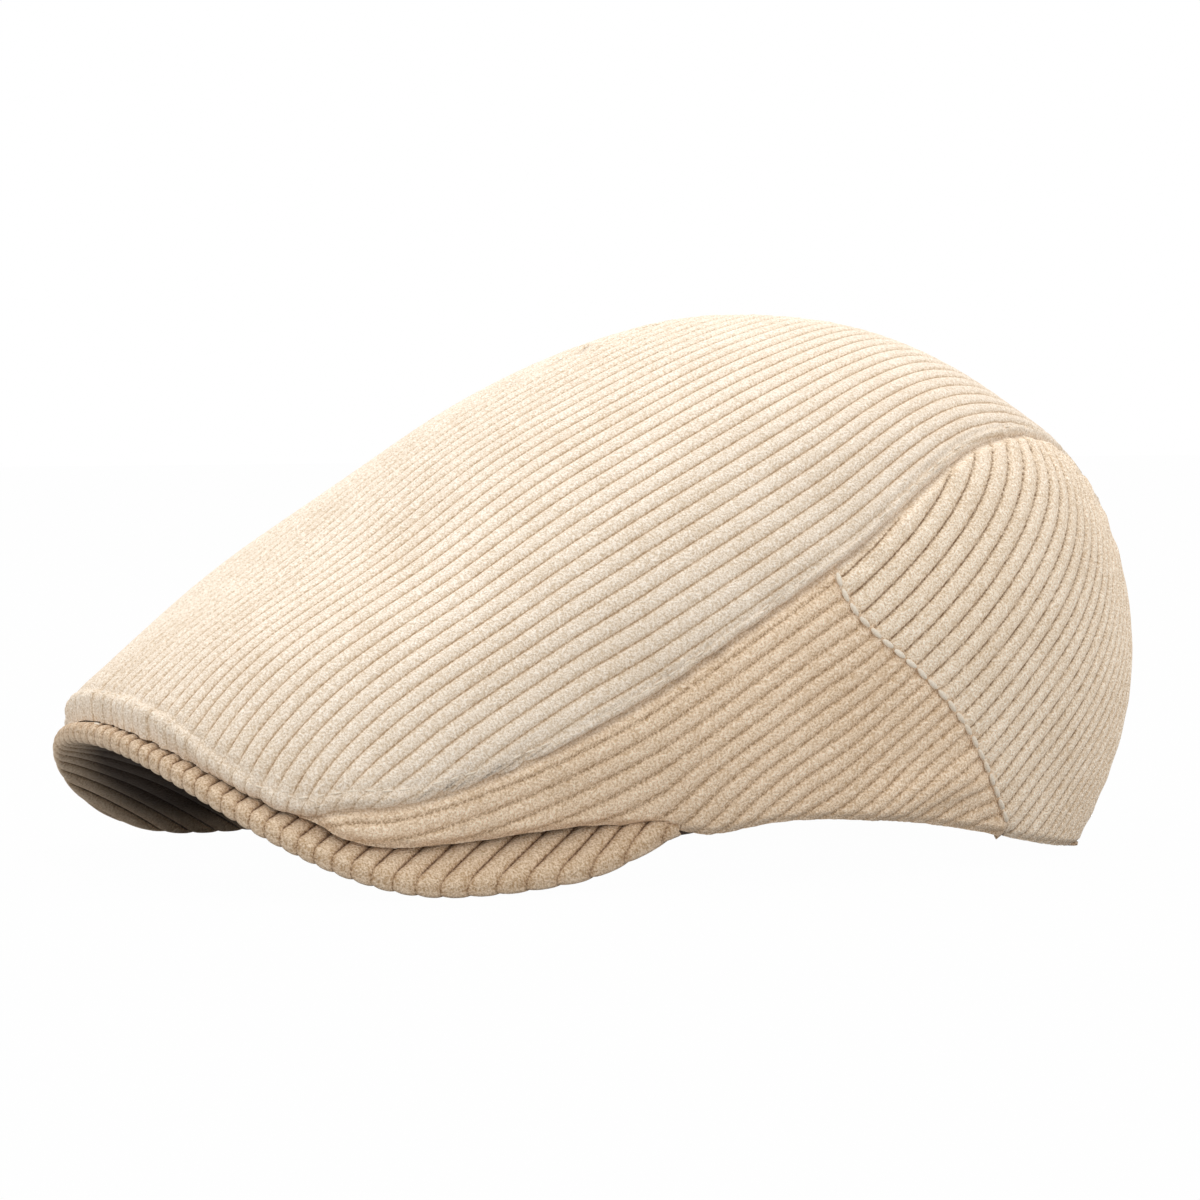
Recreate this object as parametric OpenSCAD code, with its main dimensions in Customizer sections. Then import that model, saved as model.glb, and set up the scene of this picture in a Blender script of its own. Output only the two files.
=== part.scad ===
// Flat cap with a small stiff visor, sewn from five panels of wide-wale corduroy.
// Frame: +Z up, the visor points to -Y, the wearer's left is +X.
// The origin is under the middle of the cap, on the surface that it rests on.

/* [Crown] */
// Length from the front edge of the visor to the back of the crown, in mm
cap_length = 269; // [250:1:290]
// Height of the crown above the surface that the cap rests on, in mm
crown_height = 134; // [122:1:145]
// Width of the crown at its widest, in mm
crown_width = 172; // [166:1:184]
// Width of the top panel's tail where it meets the hem at the back, in mm
tail_width = 68; // [60:1:72]

/* [Head opening] */
// Outside length of the hem, front to back, in mm
head_length = 204; // [194:1:210]
// Outside width of the hem, side to side, in mm
head_width = 164; // [156:1:170]
// How far the hem rises over the ears, in mm
ear_rise = 14; // [8:1:18]

/* [Visor] */
// Width of the visor across its corners, in mm
visor_width = 176; // [168:1:184]
// How far the middle of the visor stands above its corners, in mm
visor_arch = 32; // [26:1:35]
// Whole thickness of the covered visor, in mm
visor_thickness = 5.2; // [4.8:0.1:6]
// Thickness of the stiff board inside the visor, in mm
board_thickness = 2; // [1.4:0.1:2.4]

/* [Cloth] */
// Thickness of the corduroy on the crown, pile and all, in mm
cloth = 1.8; // [1.4:0.1:2.2]
// Thickness of the corduroy stretched over the visor, in mm
cover = 1.3; // [1:0.1:1.4]
// Thickness of the stiffening felt under the top panel, in mm
felt = 0.8; // [0.5:0.1:1]
// Thickness of the lining cloth, in mm
lining = 0.5; // [0.4:0.1:0.7]

/* [Sweatband] */
// Height of the sweatband, in mm
band_height = 32; // [26:1:36]
// Thickness of the sweatband, in mm
band = 1.2; // [0.8:0.1:1.4]

/* [Thread] */
// Diameter of the sewing thread, in mm
thread = 0.6; // [0.4:0.1:0.8]
// Length of one stitch with its gap along the crown's edge, in mm
edge_stitch = 4; // [3:0.5:6]
// Length of one stitch with its gap along the side seams, in mm
seam_stitch = 4; // [2.6:0.2:5]
// Distance of the stitched row from the top panel's front edge, in mm
stitch_inset = 6; // [4:0.5:8]
// Distance of the stitched row from the top panel's edge along the sides and the back, in mm
side_inset = 2.6; // [2:0.2:4]

/* [Hidden] */

corduroy = [0.86, 0.77, 0.65];
corduroy_shade = [0.80, 0.71, 0.59];
thread_cream = [0.93, 0.87, 0.78];
satin = [0.72, 0.64, 0.54];
twill = [0.30, 0.25, 0.20];
board_grey = [0.80, 0.80, 0.78];

// Running gap between layers that lie on each other.
gap = 0.2;

// ---------------------------------------------------------------- curves

// Slope of a smooth line through p at its point j.
function slope_at(p, j) =
    let (n = len(p) - 1)
    j == 0 ? -1.5 * p[0] + 2 * p[1] - 0.5 * p[2]
    : j == n ? 1.5 * p[n] - 2 * p[n - 1] + 0.5 * p[n - 2]
    : (p[j + 1] - p[j - 1]) / 2;

// Point u of a smooth line through p, where u = 0, 1, 2 ... are its own points.
function along(p, u) =
    let (
        n = len(p) - 1,
        v = min(max(u, 0), n),
        i = min(floor(v), n - 1),
        t = v - i,
        t2 = t * t,
        t3 = t2 * t
    )
    p[i] * (2 * t3 - 3 * t2 + 1) + slope_at(p, i) * (t3 - 2 * t2 + t)
    + p[i + 1] * (3 * t2 - 2 * t3) + slope_at(p, i + 1) * (t3 - t2);

// Cubic Bezier curve over four control points, and its direction of travel.
function bezier(c, t) =
    let (s = 1 - t)
    s * s * s * c[0] + 3 * s * s * t * c[1] + 3 * s * t * t * c[2] + t * t * t * c[3];
function bezier_dir(c, t) =
    let (s = 1 - t)
    s * s * (c[1] - c[0]) + 2 * s * t * (c[2] - c[1]) + t * t * (c[3] - c[2]);

function unit(v) = v / norm(v);
function mix(a, b, t) = a + (b - a) * t;
function smooth(t) = let (c = min(max(t, 0), 1)) c * c * (3 - 2 * c);

// Running totals of a list.
function totals(v) = [for (i = 0, sum = 0; i < len(v); sum = sum + v[i], i = i + 1) sum + v[i]];

// ---------------------------------------------------------------- visor surface

visor_half = visor_width / 2;
visor_mid = visor_thickness / 2;
// The underside is lowest a little way in from the rim, and touches the ground there.
rim_inset = 1.1;
rim_share = 0.95;
front_y = -cap_length / 2;
// The visor is widest here, and its corners run back from here to the hem.
corner_y = front_y + 0.225 * cap_length;
corner_run = 0.47 * cap_length;
arch_power = 2.15;
visor_top_z =
    visor_mid * rim_share + visor_arch * pow(1 - rim_inset / visor_half, arch_power);
// Below 1 the outline is squarer than an ellipse.
outline_power = 0.93;
// Angle around the visor's outline at which it ends against the hem.
visor_sweep = 116;

// How far the visor's corners turn up where they run back into the hem, how far behind the corners
// the turn starts, and the run that it takes, in mm.
corner_lift = 4;
lift_start = 30;
lift_run = 35;

// Height of the middle of the visor's thickness: arched from side to side, and level from front to
// back as far as the corners.
function visor_z(x, y) =
    visor_top_z - visor_arch * pow(min(abs(x) / visor_half, 1.03), arch_power)
    + corner_lift * smooth((y - corner_y - lift_start) / lift_run);

// Outline of the visor in plan. Angle 0 is the middle of the front edge.
function visor_outline(a) = [
    visor_half * sign(sin(a)) * pow(abs(sin(a)), outline_power),
    cos(a) > 0 ? corner_y - (corner_y - front_y) * pow(cos(a), outline_power)
    : corner_y - corner_run * cos(a)
];

// The same outline moved inwards by d.
function visor_inset(a, d) =
    let (
        step = visor_outline(a + 0.5) - visor_outline(a - 0.5),
        inward = unit([-step[1], step[0]])
    )
    visor_outline(a) + inward * d;

// ---------------------------------------------------------------- hem

hem_half = head_width / 2;
hem_back_y = 0.459 * cap_length;
hem_mid_y = hem_back_y - head_length / 2;
hem_power = 0.91;
// Angle around the hem at which the visor's corner meets it.
visor_end = 68.8;

// The hem in plan, moved inwards by d. Angle 0 is the middle of the front.
function hem_outline(a, d = 0) = [
    (hem_half - d) * sign(sin(a)) * pow(abs(sin(a)), hem_power),
    hem_mid_y - (head_length / 2 - d) * sign(cos(a)) * pow(abs(cos(a)), hem_power)
];

// Height of the hem behind the visor: raised over the ears, down at the back.
function hem_side_z(a) = ear_rise * pow(max(cos((a - 85) * 90 / 95), 0), 4);
// Height all round: lift above the middle of the visor's thickness in front, then the hem's own.
visor_blend = 12;
function hem_z(a, lift) =
    let (b = abs(a), p = hem_outline(b))
    mix(visor_z(p[0], p[1]) + lift, hem_side_z(b), smooth((b - visor_end) / visor_blend));

// The crown's bottom edge comes down onto the visor's top, and the sweatband down to its underside.
function hem_point(a) =
    let (p = hem_outline(a))
    [p[0], p[1], hem_z(a, visor_mid + 2 * gap)];
function band_z(a) = hem_z(a, -visor_mid) + band_foot;

// ---------------------------------------------------------------- crown surface

// The crown is skinned over ribs. A rib is a Bezier curve that starts on the middle line, leaves it
// level and square, and comes down past the shoulder to the bottom edge of the cloth.
// Station 0 is the front edge of the crown and station 9 is the hem at the back.
last_station = 9;

// Middle line: shares of the cap's length, from the front, and of the crown's height.
mid_line = [
    [0.009, 0.309], [0.087, 0.450], [0.215, 0.630], [0.384, 0.856], [0.580, 1.000],
    [0.764, 0.972], [0.914, 0.801], [0.990, 0.535], [0.981, 0.240], [0.954, 0.000]
];
// How far each rib runs out level from the middle line, as shares of half the crown's width.
reach = [0.26, 0.50, 0.66, 0.76, 0.79, 0.72, 0.62, 0.49, 0.38, 0.20];
// Shoulder: shares of half the crown's width, of the length and of the height.
shoulder = [
    [0.40, 0.020, 0.293], [0.815, 0.094, 0.285], [1.05, 0.206, 0.345], [1.13, 0.406, 0.449],
    [1.14, 0.598, 0.584], [1.095, 0.785, 0.674], [0.90, 0.914, 0.573], [0.68, 0.964, 0.345],
    [0.50, 0.957, 0.158], [0.27, 0.954, 0.000]
];
// Where the first ribs end on the visor: angle around its outline, and inset from it in mm.
visor_feet = [[34, 2.8], [56, 4], [80, 5.6]];
// Where the other ribs end on the hem: angle around it.
hem_feet = [70, 90, 111, 132, 143.5, 150, 154];

// The middle line's own highest and rearmost points set the crown's height and the cap's length.
mid_samples = [for (u = [0 : 0.05 : last_station]) along(mid_line, u)];
rear_share = max([for (p = mid_samples) p[0]]);
peak_share = max([for (p = mid_samples) p[1]]);
function y_at(share) = front_y + share / rear_share * cap_length;
function z_at(share) = share / peak_share * crown_height;

mid_points = [for (p = mid_line) [0, y_at(p[0]), z_at(p[1])]];
reach_points = [
    for (i = [0 : last_station])
        [reach[i] * crown_width / 2, mid_points[i][1], mid_points[i][2]]
];
shoulder_points = [
    for (p = shoulder) [p[0] * crown_width / 2, y_at(p[1]), z_at(p[2])]
];
foot_points = concat(
    [
        for (f = visor_feet)
            let (p = visor_inset(f[0], f[1]))
            [p[0], p[1], visor_z(p[0], p[1]) + visor_mid + cloth + gap]
    ],
    [for (a = hem_feet) hem_point(a)]
);

// Bottom end of the rib at station u: on the visor in front, and then on the hem itself.
hem_station = len(visor_feet);
function foot(u) =
    u < hem_station ? along(foot_points, u) : hem_point(along(hem_feet, u - hem_station));

// Control points of the rib at station u.
function rib(u) = [
    along(mid_points, u), along(reach_points, u), along(shoulder_points, u), foot(u)
];

rib_steps = 24;
// Pairs of distance along a rib and its own parameter.
function rib_table(c) =
    let (
        p = [for (i = [0 : rib_steps]) bezier(c, i / rib_steps)],
        d = totals([for (i = [0 : rib_steps]) i == 0 ? 0 : norm(p[i] - p[i - 1])])
    )
    [for (i = [0 : rib_steps]) [d[i], i / rib_steps]];
function rib_length(u) = rib_table(rib(u))[rib_steps][0];

// Keeps a point of the crown's cloth on top of the visor where the two lie on each other, up to
// rest_run mm behind the visor's rear end.
rest_run = 1.5;
visor_end_y = visor_outline(visor_sweep)[1];
function over_visor(p) =
    p[1] > visor_end_y + rest_run ? p
    : [p[0], p[1], max(p[2], visor_z(p[0], p[1]) + visor_mid + gap)];

nudge = 0.02;
// Point of the crown at station u, q mm from the middle line along the rib, depth mm under its face.
function crown(u, q, depth = 0) =
    let (
        c = rib(u),
        t = lookup(q, rib_table(c)),
        p = bezier(c, t),
        outwards = unit(cross(
            bezier_dir(c, t), bezier(rib(u + nudge), t) - bezier(rib(u - nudge), t)
        ))
    )
    over_visor(p - outwards * depth);

// ---------------------------------------------------------------- seams between the panels

// Half width of the top panel at each station before the last, as shares of half the crown's width.
top_half_shares = [0.698, 0.977, 1.337, 1.395, 1.279, 0.849, 0.488, 0.477, 0.453];
top_half_mm = concat([for (s = top_half_shares) s * crown_width / 2], [tail_width / 2]);
edge_margin = 3;
// The side panel starts as a narrow point at this station.
side_start = 0.8;
// The seam between side and back panels runs from this station, at its top, to that one, at the hem.
seam_top = 4;
seam_foot = 5.48;
seam_power = 1.85;

function top_half(u) =
    let (whole = rib_length(u))
    u < side_start ? whole : min(along(top_half_mm, u), whole - edge_margin);
function back_seam(r) = mix(seam_top, seam_foot, pow(r, seam_power));

// Point of the strip under the top panel: r is 0 at the top seam and 1 at the bottom edge.
// Neighbouring panels stop half a seam short of the line that they share.
seam = 0.1;
function below_top(u, r, depth = 0) =
    let (top = top_half(u) + seam)
    crown(u, mix(top, rib_length(u), r), depth);

// ---------------------------------------------------------------- solids from grids

function mirrored(grid) = [for (row = grid) [for (p = row) [-p[0], p[1], p[2]]]];

// A closed sheet between two grids of points with the same rows and columns.
// The outer grid's rows and columns turn so that its faces look outwards.
module sheet(outer, inner, flip = false) {
    rows = len(outer);
    cols = len(outer[0]);
    half = rows * cols;
    points = [for (g = [outer, inner]) for (row = g) for (p = row) p];
    function at(side, i, j) = side * half + i * cols + j;
    // A quad a, b, c, d as two triangles.
    function quad(a, b, c, d) = flip ? [[a, b, c], [a, c, d]] : [[c, b, a], [d, c, a]];
    faces = [
        for (i = [0 : rows - 2]) for (j = [0 : cols - 2])
            for (f = quad(at(0, i, j), at(0, i, j + 1), at(0, i + 1, j + 1), at(0, i + 1, j))) f,
        for (i = [0 : rows - 2]) for (j = [0 : cols - 2])
            for (f = quad(at(1, i, j), at(1, i + 1, j), at(1, i + 1, j + 1), at(1, i, j + 1))) f,
        for (i = [0 : rows - 2])
            for (f = quad(at(0, i, 0), at(0, i + 1, 0), at(1, i + 1, 0), at(1, i, 0))) f,
        for (i = [0 : rows - 2])
            for (f = quad(
                at(0, i + 1, cols - 1), at(0, i, cols - 1), at(1, i, cols - 1), at(1, i + 1, cols - 1)
            )) f,
        for (j = [0 : cols - 2])
            for (f = quad(at(0, 0, j + 1), at(0, 0, j), at(1, 0, j), at(1, 0, j + 1))) f,
        for (j = [0 : cols - 2])
            for (f = quad(
                at(0, rows - 1, j), at(0, rows - 1, j + 1), at(1, rows - 1, j + 1), at(1, rows - 1, j)
            )) f
    ];
    polyhedron(points, faces);
}

// A short bar from a to b, nearly round.
module bar(a, b, d) {
    run = b - a;
    translate(a)
        rotate([0, acos(run[2] / norm(run)), atan2(run[1], run[0])])
            cylinder(h = norm(run), d = d, $fn = 5);
}

// Stitches between neighbouring points of a line, each covering a share of its step.
module stitches(line, share = 0.72) {
    for (i = [0 : len(line) - 2])
        bar(line[i], mix(line[i], line[i + 1], share), thread);
}

// ---------------------------------------------------------------- crown panels

// Rows of faces to one station. Panels that share a seam share its points.
station_rows = 5;
top_cols = 11;
side_cols = 10;
top_rows = station_rows * last_station;
side_rows = round(station_rows * (seam_top - side_start));
back_rows = round(station_rows * (last_station - seam_top));

module top_panel() {
    stations = [for (i = [0 : top_rows]) last_station * i / top_rows];
    function grid(depth) = [
        for (u = stations) let (half = top_half(u) - seam) [
            for (j = [-top_cols : top_cols])
                let (p = crown(u, half * abs(j) / top_cols, depth))
                j < 0 ? [-p[0], p[1], p[2]] : p
        ]
    ];
    color(corduroy) sheet(grid(0), grid(cloth));
}

function side_grid(depth) = [
    for (i = [0 : side_rows]) [
        for (j = [0 : side_cols])
            let (r = j / side_cols)
            below_top(mix(side_start, back_seam(r) - 0.002, i / side_rows), r, depth)
    ]
];
function back_grid(depth) = [
    for (i = [0 : back_rows]) [
        for (j = [0 : side_cols])
            let (r = j / side_cols)
            below_top(mix(back_seam(r) + 0.002, last_station, i / back_rows), r, depth)
    ]
];

module left_side_panel() {
    color(corduroy) sheet(side_grid(0), side_grid(cloth));
}
module right_side_panel() {
    color(corduroy) sheet(mirrored(side_grid(0)), mirrored(side_grid(cloth)), flip = true);
}
module left_back_panel() {
    color(corduroy) sheet(back_grid(0), back_grid(cloth));
}
module right_back_panel() {
    color(corduroy) sheet(mirrored(back_grid(0)), mirrored(back_grid(cloth)), flip = true);
}

// Stiffening felt, fused under the top panel and short of its seams.
module crown_interlining() {
    felt_rows = 20;
    felt_cols = 6;
    felt_first = 0.6;
    felt_last = 5.4;
    felt_setback = 4;
    felt_margin = stitch_inset + felt_setback;
    felt_gap = 0.5;
    function grid(depth) = [
        for (i = [0 : felt_rows])
            let (u = mix(felt_first, felt_last, i / felt_rows), half = top_half(u) - felt_margin) [
                for (j = [-felt_cols : felt_cols])
                    let (p = crown(u, half * abs(j) / felt_cols, depth))
                    j < 0 ? [-p[0], p[1], p[2]] : p
            ]
    ];
    color(board_grey) sheet(grid(cloth + felt_gap), grid(cloth + felt_gap + felt));
}

// ---------------------------------------------------------------- visor

visor_steps = 36;
// Point of the visor: angle around its outline, share r of the way back to the hem, inset in mm
// from its front edge, and height above the middle of its thickness. It ends against the sweatband.
function visor_point(a, r, inset, lift) =
    let (
        front = visor_inset(a, inset),
        back = hem_outline(a * visor_end / visor_sweep, band_inset - gap),
        p = mix(front, back, r)
    )
    [p[0], p[1], visor_z(p[0], p[1]) + lift];

// Section of one cover, from the middle of the rim over the top: [share, inset, lift] outside and inside.
cover_lift = visor_mid;
cover_inside = visor_mid - cover;
cover_section = [
    [[0, 0, 0.05], [0, cover, 0.05]],
    [[0, 0.25, cover_lift * 0.6], [0, cover + 0.05, cover_inside * 0.6]],
    [[0, rim_inset, cover_lift * rim_share], [0, cover + 0.5, cover_inside]],
    [[0.08, 1.6, cover_lift], [0.08, cover + 0.6, cover_inside]],
    [[0.3, 1.6, cover_lift], [0.3, cover + 0.6, cover_inside]],
    [[0.65, 1.6, cover_lift], [0.65, cover + 0.6, cover_inside]],
    [[1, 1.6, cover_lift], [1, cover + 0.6, cover_inside]]
];

function cover_grid(side, way) = [
    for (i = [-visor_steps / 2 : visor_steps / 2]) [
        for (s = cover_section)
            visor_point(visor_sweep * i * 2 / visor_steps, s[side][0], s[side][1], way * s[side][2])
    ]
];

module visor_top_cover() {
    color(corduroy_shade) sheet(cover_grid(0, 1), cover_grid(1, 1), flip = true);
}
module visor_under_cover() {
    color(corduroy_shade) sheet(cover_grid(0, -1), cover_grid(1, -1));
}
module visor_board() {
    board_inset = cover + gap + 0.6;
    function grid(lift) = [
        for (i = [-visor_steps / 2 : visor_steps / 2]) [
            for (r = [0, 0.25, 0.5, 0.75, 0.97])
                visor_point((visor_sweep - 3) * i * 2 / visor_steps, r, board_inset, lift)
        ]
    ];
    color(board_grey) sheet(grid(board_thickness / 2), grid(-board_thickness / 2), flip = true);
}

// ---------------------------------------------------------------- sweatband

band_steps = 72;
band_inset = cloth + 2 * gap;
band_foot = 1;

function band_ring(inset, lift) = [
    for (i = [0 : band_steps - 1])
        let (a = 360 * i / band_steps, b = a > 180 ? a - 360 : a, p = hem_outline(a, inset))
        [p[0], p[1], band_z(b) + lift]
];

// A closed ring between four loops of points: outside foot, outside top, inside top, inside foot.
module hoop(loops) {
    n = len(loops[0]);
    points = [for (l = loops) for (p = l) p];
    faces = [
        for (k = [0 : 3]) for (i = [0 : n - 1])
            let (
                a = k * n + i,
                b = k * n + (i + 1) % n,
                c = (k + 1) % 4 * n + (i + 1) % n,
                d = (k + 1) % 4 * n + i
            )
            for (f = [[a, c, b], [a, d, c]]) f
    ];
    polyhedron(points, faces);
}

module sweatband() {
    color(twill) hoop([
        band_ring(band_inset, 0),
        band_ring(band_inset, band_height),
        band_ring(band_inset + band, band_height),
        band_ring(band_inset + band, 0)
    ]);
}

// ---------------------------------------------------------------- lining

// The lining is a slack dome in three pieces. Its edge lies behind the sweatband's top.
lining_overlap = 4;
lining_inset = band_inset - gap - 0.1 - lining;
function lining_foot(a) =
    let (p = hem_outline(a, lining_inset))
    [p[0], p[1], band_z(a) + band_height - lining_overlap];
// Middle line between its two ends, as shares of the cap's length and the crown's height.
lining_mid_line = [
    [0.225, 0.560], [0.300, 0.690], [0.420, 0.830], [0.580, 0.930],
    [0.740, 0.912], [0.870, 0.785], [0.935, 0.545]
];
// Where the lining's ribs end: angle around the hem.
lining_feet = [14, 36, 55, 73, 90, 108, 128, 146, 164];
lining_last = len(lining_feet) - 1;
// The lining's width follows the crown's.
lining_reach = 0.6484 * crown_width / head_width;
lining_shoulder_out = 0.9726 * crown_width / head_width;
lining_shoulder_up = 0.56;
lining_seam_share = 0.5;

lining_mid_points = concat(
    [lining_foot(0)],
    [for (p = lining_mid_line) [0, y_at(p[0]), z_at(p[1])]],
    [lining_foot(180)]
);
function lining_rib(u) =
    let (m = along(lining_mid_points, u), f = lining_foot(along(lining_feet, u)))
    [
        m,
        [f[0] * lining_reach, m[1], m[2]],
        [
            f[0] * lining_shoulder_out,
            mix(f[1], m[1], 0.3),
            mix(f[2], m[2], lining_shoulder_up)
        ],
        f
    ];
function lining_point(u, t, depth) =
    let (
        c = lining_rib(u),
        outwards = unit(cross(
            bezier_dir(c, t), bezier(lining_rib(u + nudge), t) - bezier(lining_rib(u - nudge), t)
        ))
    )
    bezier(c, t) - outwards * depth;

lining_rows = 22;
lining_cols = 6;
function lining_grid(from, to, cols, depth) = [
    for (i = [0 : lining_rows]) [
        for (j = [0 : cols])
            let (
                t = mix(from, to, j / cols),
                p = lining_point(lining_last * i / lining_rows, abs(t), depth)
            )
            t < 0 ? [-p[0], p[1], p[2]] : p
    ]
];
lining_edge = lining_seam_share - 0.002;

module lining_top() {
    color(satin) sheet(
        lining_grid(-lining_edge, lining_edge, 2 * lining_cols, 0),
        lining_grid(-lining_edge, lining_edge, 2 * lining_cols, lining)
    );
}
module left_lining_side() {
    color(satin) sheet(
        lining_grid(lining_seam_share, 1, lining_cols, 0),
        lining_grid(lining_seam_share, 1, lining_cols, lining)
    );
}
module right_lining_side() {
    color(satin) sheet(
        mirrored(lining_grid(lining_seam_share, 1, lining_cols, 0)),
        mirrored(lining_grid(lining_seam_share, 1, lining_cols, lining)),
        flip = true
    );
}

// ---------------------------------------------------------------- thread

// Thread lies just clear of the cloth that it holds.
thread_lift = thread / 2 + 0.15;

// The row follows the top panel's edge from the middle of its front to the hem at the back. Its
// length is a share of the cap's, and one station near the front is about 26 mm long.
edge_row_share = 1.18;
front_station_run = 26;
front_turn = 10;
row_start = stitch_inset / front_station_run;
row_end = last_station - 0.2;
edge_stitch_count = round(edge_row_share * cap_length / edge_stitch);
// The row comes closer to the edge between these two stations.
inset_from = 1.6;
inset_to = 2.7;
function row_inset(u) =
    mix(stitch_inset, side_inset, smooth((u - inset_from) / (inset_to - inset_from)));
edge_row = concat(
    [
        for (i = [0 : front_turn])
            crown(row_start, (top_half(0) - stitch_inset) * i / front_turn, -thread_lift)
    ],
    [
        for (i = [1 : edge_stitch_count])
            let (u = mix(row_start, row_end, i / edge_stitch_count))
            crown(u, top_half(u) - row_inset(u), -thread_lift)
    ]
);

// The row down a side seam lies beside it, on the side panel. Its length is a share of the height.
seam_row_share = 0.6;
seam_row_offset = 0.03;
seam_row_margin = 0.02;
seam_stitch_count = round(seam_row_share * crown_height / seam_stitch);
seam_row = [
    for (i = [0 : seam_stitch_count])
        let (r = mix(seam_row_margin, 1 - seam_row_margin, i / seam_stitch_count))
        below_top(back_seam(r) - seam_row_offset, r, -thread_lift)
];

module left_edge_stitching() {
    color(thread_cream) stitches(edge_row);
}
module right_edge_stitching() {
    color(thread_cream) mirror([1, 0, 0]) stitches(edge_row);
}
module left_seam_stitching() {
    color(thread_cream) stitches(seam_row);
}
module right_seam_stitching() {
    color(thread_cream) mirror([1, 0, 0]) stitches(seam_row);
}

// Stitches that hold the sweatband's foot, inside the head opening.
band_stitch_lift = 4;
band_stitch_count = 84;
module sweatband_stitching() {
    row = [
        for (i = [0 : band_stitch_count])
            let (
                a = 360 * i / band_stitch_count,
                b = a > 180 ? a - 360 : a,
                p = hem_outline(a, band_inset + band + thread_lift)
            )
            [p[0], p[1], band_z(b) + band_stitch_lift]
    ];
    color(thread_cream) stitches(row);
}

// Three short bar tacks that hold the crown's front edge down on the visor: angle around the visor's
// outline where each starts, the angle that it covers, and its inset in mm.
tacks = [[-76, -2.2, 8.4], [0, 2.2, 2.6], [76, 2.2, 8.4]];
function tack_point(a, inset) =
    let (p = visor_inset(a, inset))
    [p[0], p[1], visor_z(p[0], p[1]) + visor_mid + thread_lift];
module visor_tacks() {
    color(thread_cream)
        for (t = tacks)
            bar(tack_point(t[0], t[2]), tack_point(t[0] + t[1], t[2]), thread);
}

top_panel();
left_side_panel();
right_side_panel();
left_back_panel();
right_back_panel();
visor_top_cover();
visor_under_cover();
visor_board();
crown_interlining();
lining_top();
left_lining_side();
right_lining_side();
sweatband();
left_edge_stitching();
right_edge_stitching();
left_seam_stitching();
right_seam_stitching();
sweatband_stitching();
visor_tacks();
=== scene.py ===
"""Dresses the flat cap: corduroy panels, visor, lining, sweatband and thread over the CAD frame."""

import logging
import math
from collections.abc import Callable
from dataclasses import dataclass, field
from enum import Enum

import bpy
import numpy as np
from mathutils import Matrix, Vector


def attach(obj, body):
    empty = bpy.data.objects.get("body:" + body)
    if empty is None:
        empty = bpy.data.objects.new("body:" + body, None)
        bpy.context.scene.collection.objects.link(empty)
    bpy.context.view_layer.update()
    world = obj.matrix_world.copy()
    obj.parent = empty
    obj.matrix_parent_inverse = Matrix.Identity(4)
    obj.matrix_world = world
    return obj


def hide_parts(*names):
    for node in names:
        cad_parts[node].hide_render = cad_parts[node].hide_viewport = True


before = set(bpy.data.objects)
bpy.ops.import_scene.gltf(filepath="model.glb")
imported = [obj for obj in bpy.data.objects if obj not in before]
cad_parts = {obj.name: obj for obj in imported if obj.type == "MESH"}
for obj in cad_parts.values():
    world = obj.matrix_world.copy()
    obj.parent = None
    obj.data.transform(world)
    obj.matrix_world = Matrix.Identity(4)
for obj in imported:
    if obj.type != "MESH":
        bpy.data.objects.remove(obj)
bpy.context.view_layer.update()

Array = np.ndarray
Node = bpy.types.Node
Socket = bpy.types.NodeSocket
Colour = tuple[float, float, float, float]
Inputs = dict[str | int, object]
Piece = bpy.types.Object

MM = 0.001
BATCH = 4000
RIB_STEP = 0.02
MERGE = 0.00001
LEAST_AREA = 0.0002
CREASE_ANGLE = 60
LOG = logging.getLogger("cap")


class Side(Enum):
    """The wearer's side that a piece is on, as the sign of its X."""

    LEFT = 1
    RIGHT = -1


class Face(Enum):
    """The visor's two faces, as the sign of their height over its middle."""

    TOP = 1
    UNDER = -1


class Edge(Enum):
    """How the edge of a panel is finished."""

    TOPSTITCHED = "topstitched"
    TUCKED = "tucked"
    SEAM = "seam"
    HEM = "hem"


# ---------------------------------------------------------------- numbers and curves


def along(points: Array, u: Array) -> Array:
    """Smooth line through points, where u = 0, 1, 2 ... are the points themselves.

    Args:
        points: One row for each point.
        u: Places along the line.

    Returns:
        One row for each place.
    """
    last = len(points) - 1
    v = np.clip(np.asarray(u, float), 0.0, last)
    i = np.minimum(np.floor(v).astype(int), last - 1)
    t = (v - i)[..., None]
    slopes = np.empty_like(points)
    slopes[1:-1] = (points[2:] - points[:-2]) / 2
    slopes[0] = -1.5 * points[0] + 2 * points[1] - 0.5 * points[2]
    slopes[-1] = 1.5 * points[-1] - 2 * points[-2] + 0.5 * points[-3]
    t2, t3 = t * t, t * t * t
    return (
        points[i] * (2 * t3 - 3 * t2 + 1)
        + slopes[i] * (t3 - 2 * t2 + t)
        + points[i + 1] * (3 * t2 - 2 * t3)
        + slopes[i + 1] * (t3 - t2)
    )


def smooth(t: Array) -> Array:
    """Ease from 0 to 1 as t goes from 0 to 1."""
    c = np.clip(t, 0.0, 1.0)
    return c * c * (3 - 2 * c)


def unit(v: Array) -> Array:
    """Vectors of length 1 in the directions of v."""
    return v / np.maximum(np.linalg.norm(v, axis=-1, keepdims=True), 1e-9)


def bell(t: Array) -> Array:
    """A bell curve, 1 at 0."""
    return np.exp(-np.square(t))


def bezier(c: Array, t: Array) -> Array:
    """Points of cubic Bezier curves.

    Args:
        c: Four control points for each curve.
        t: One share for each curve.

    Returns:
        One point for each curve.
    """
    t = np.asarray(t)[..., None]
    s = 1 - t
    return (
        s**3 * c[..., 0, :] + 3 * s * s * t * c[..., 1, :]
        + 3 * s * t * t * c[..., 2, :] + t**3 * c[..., 3, :]
    )


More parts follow.
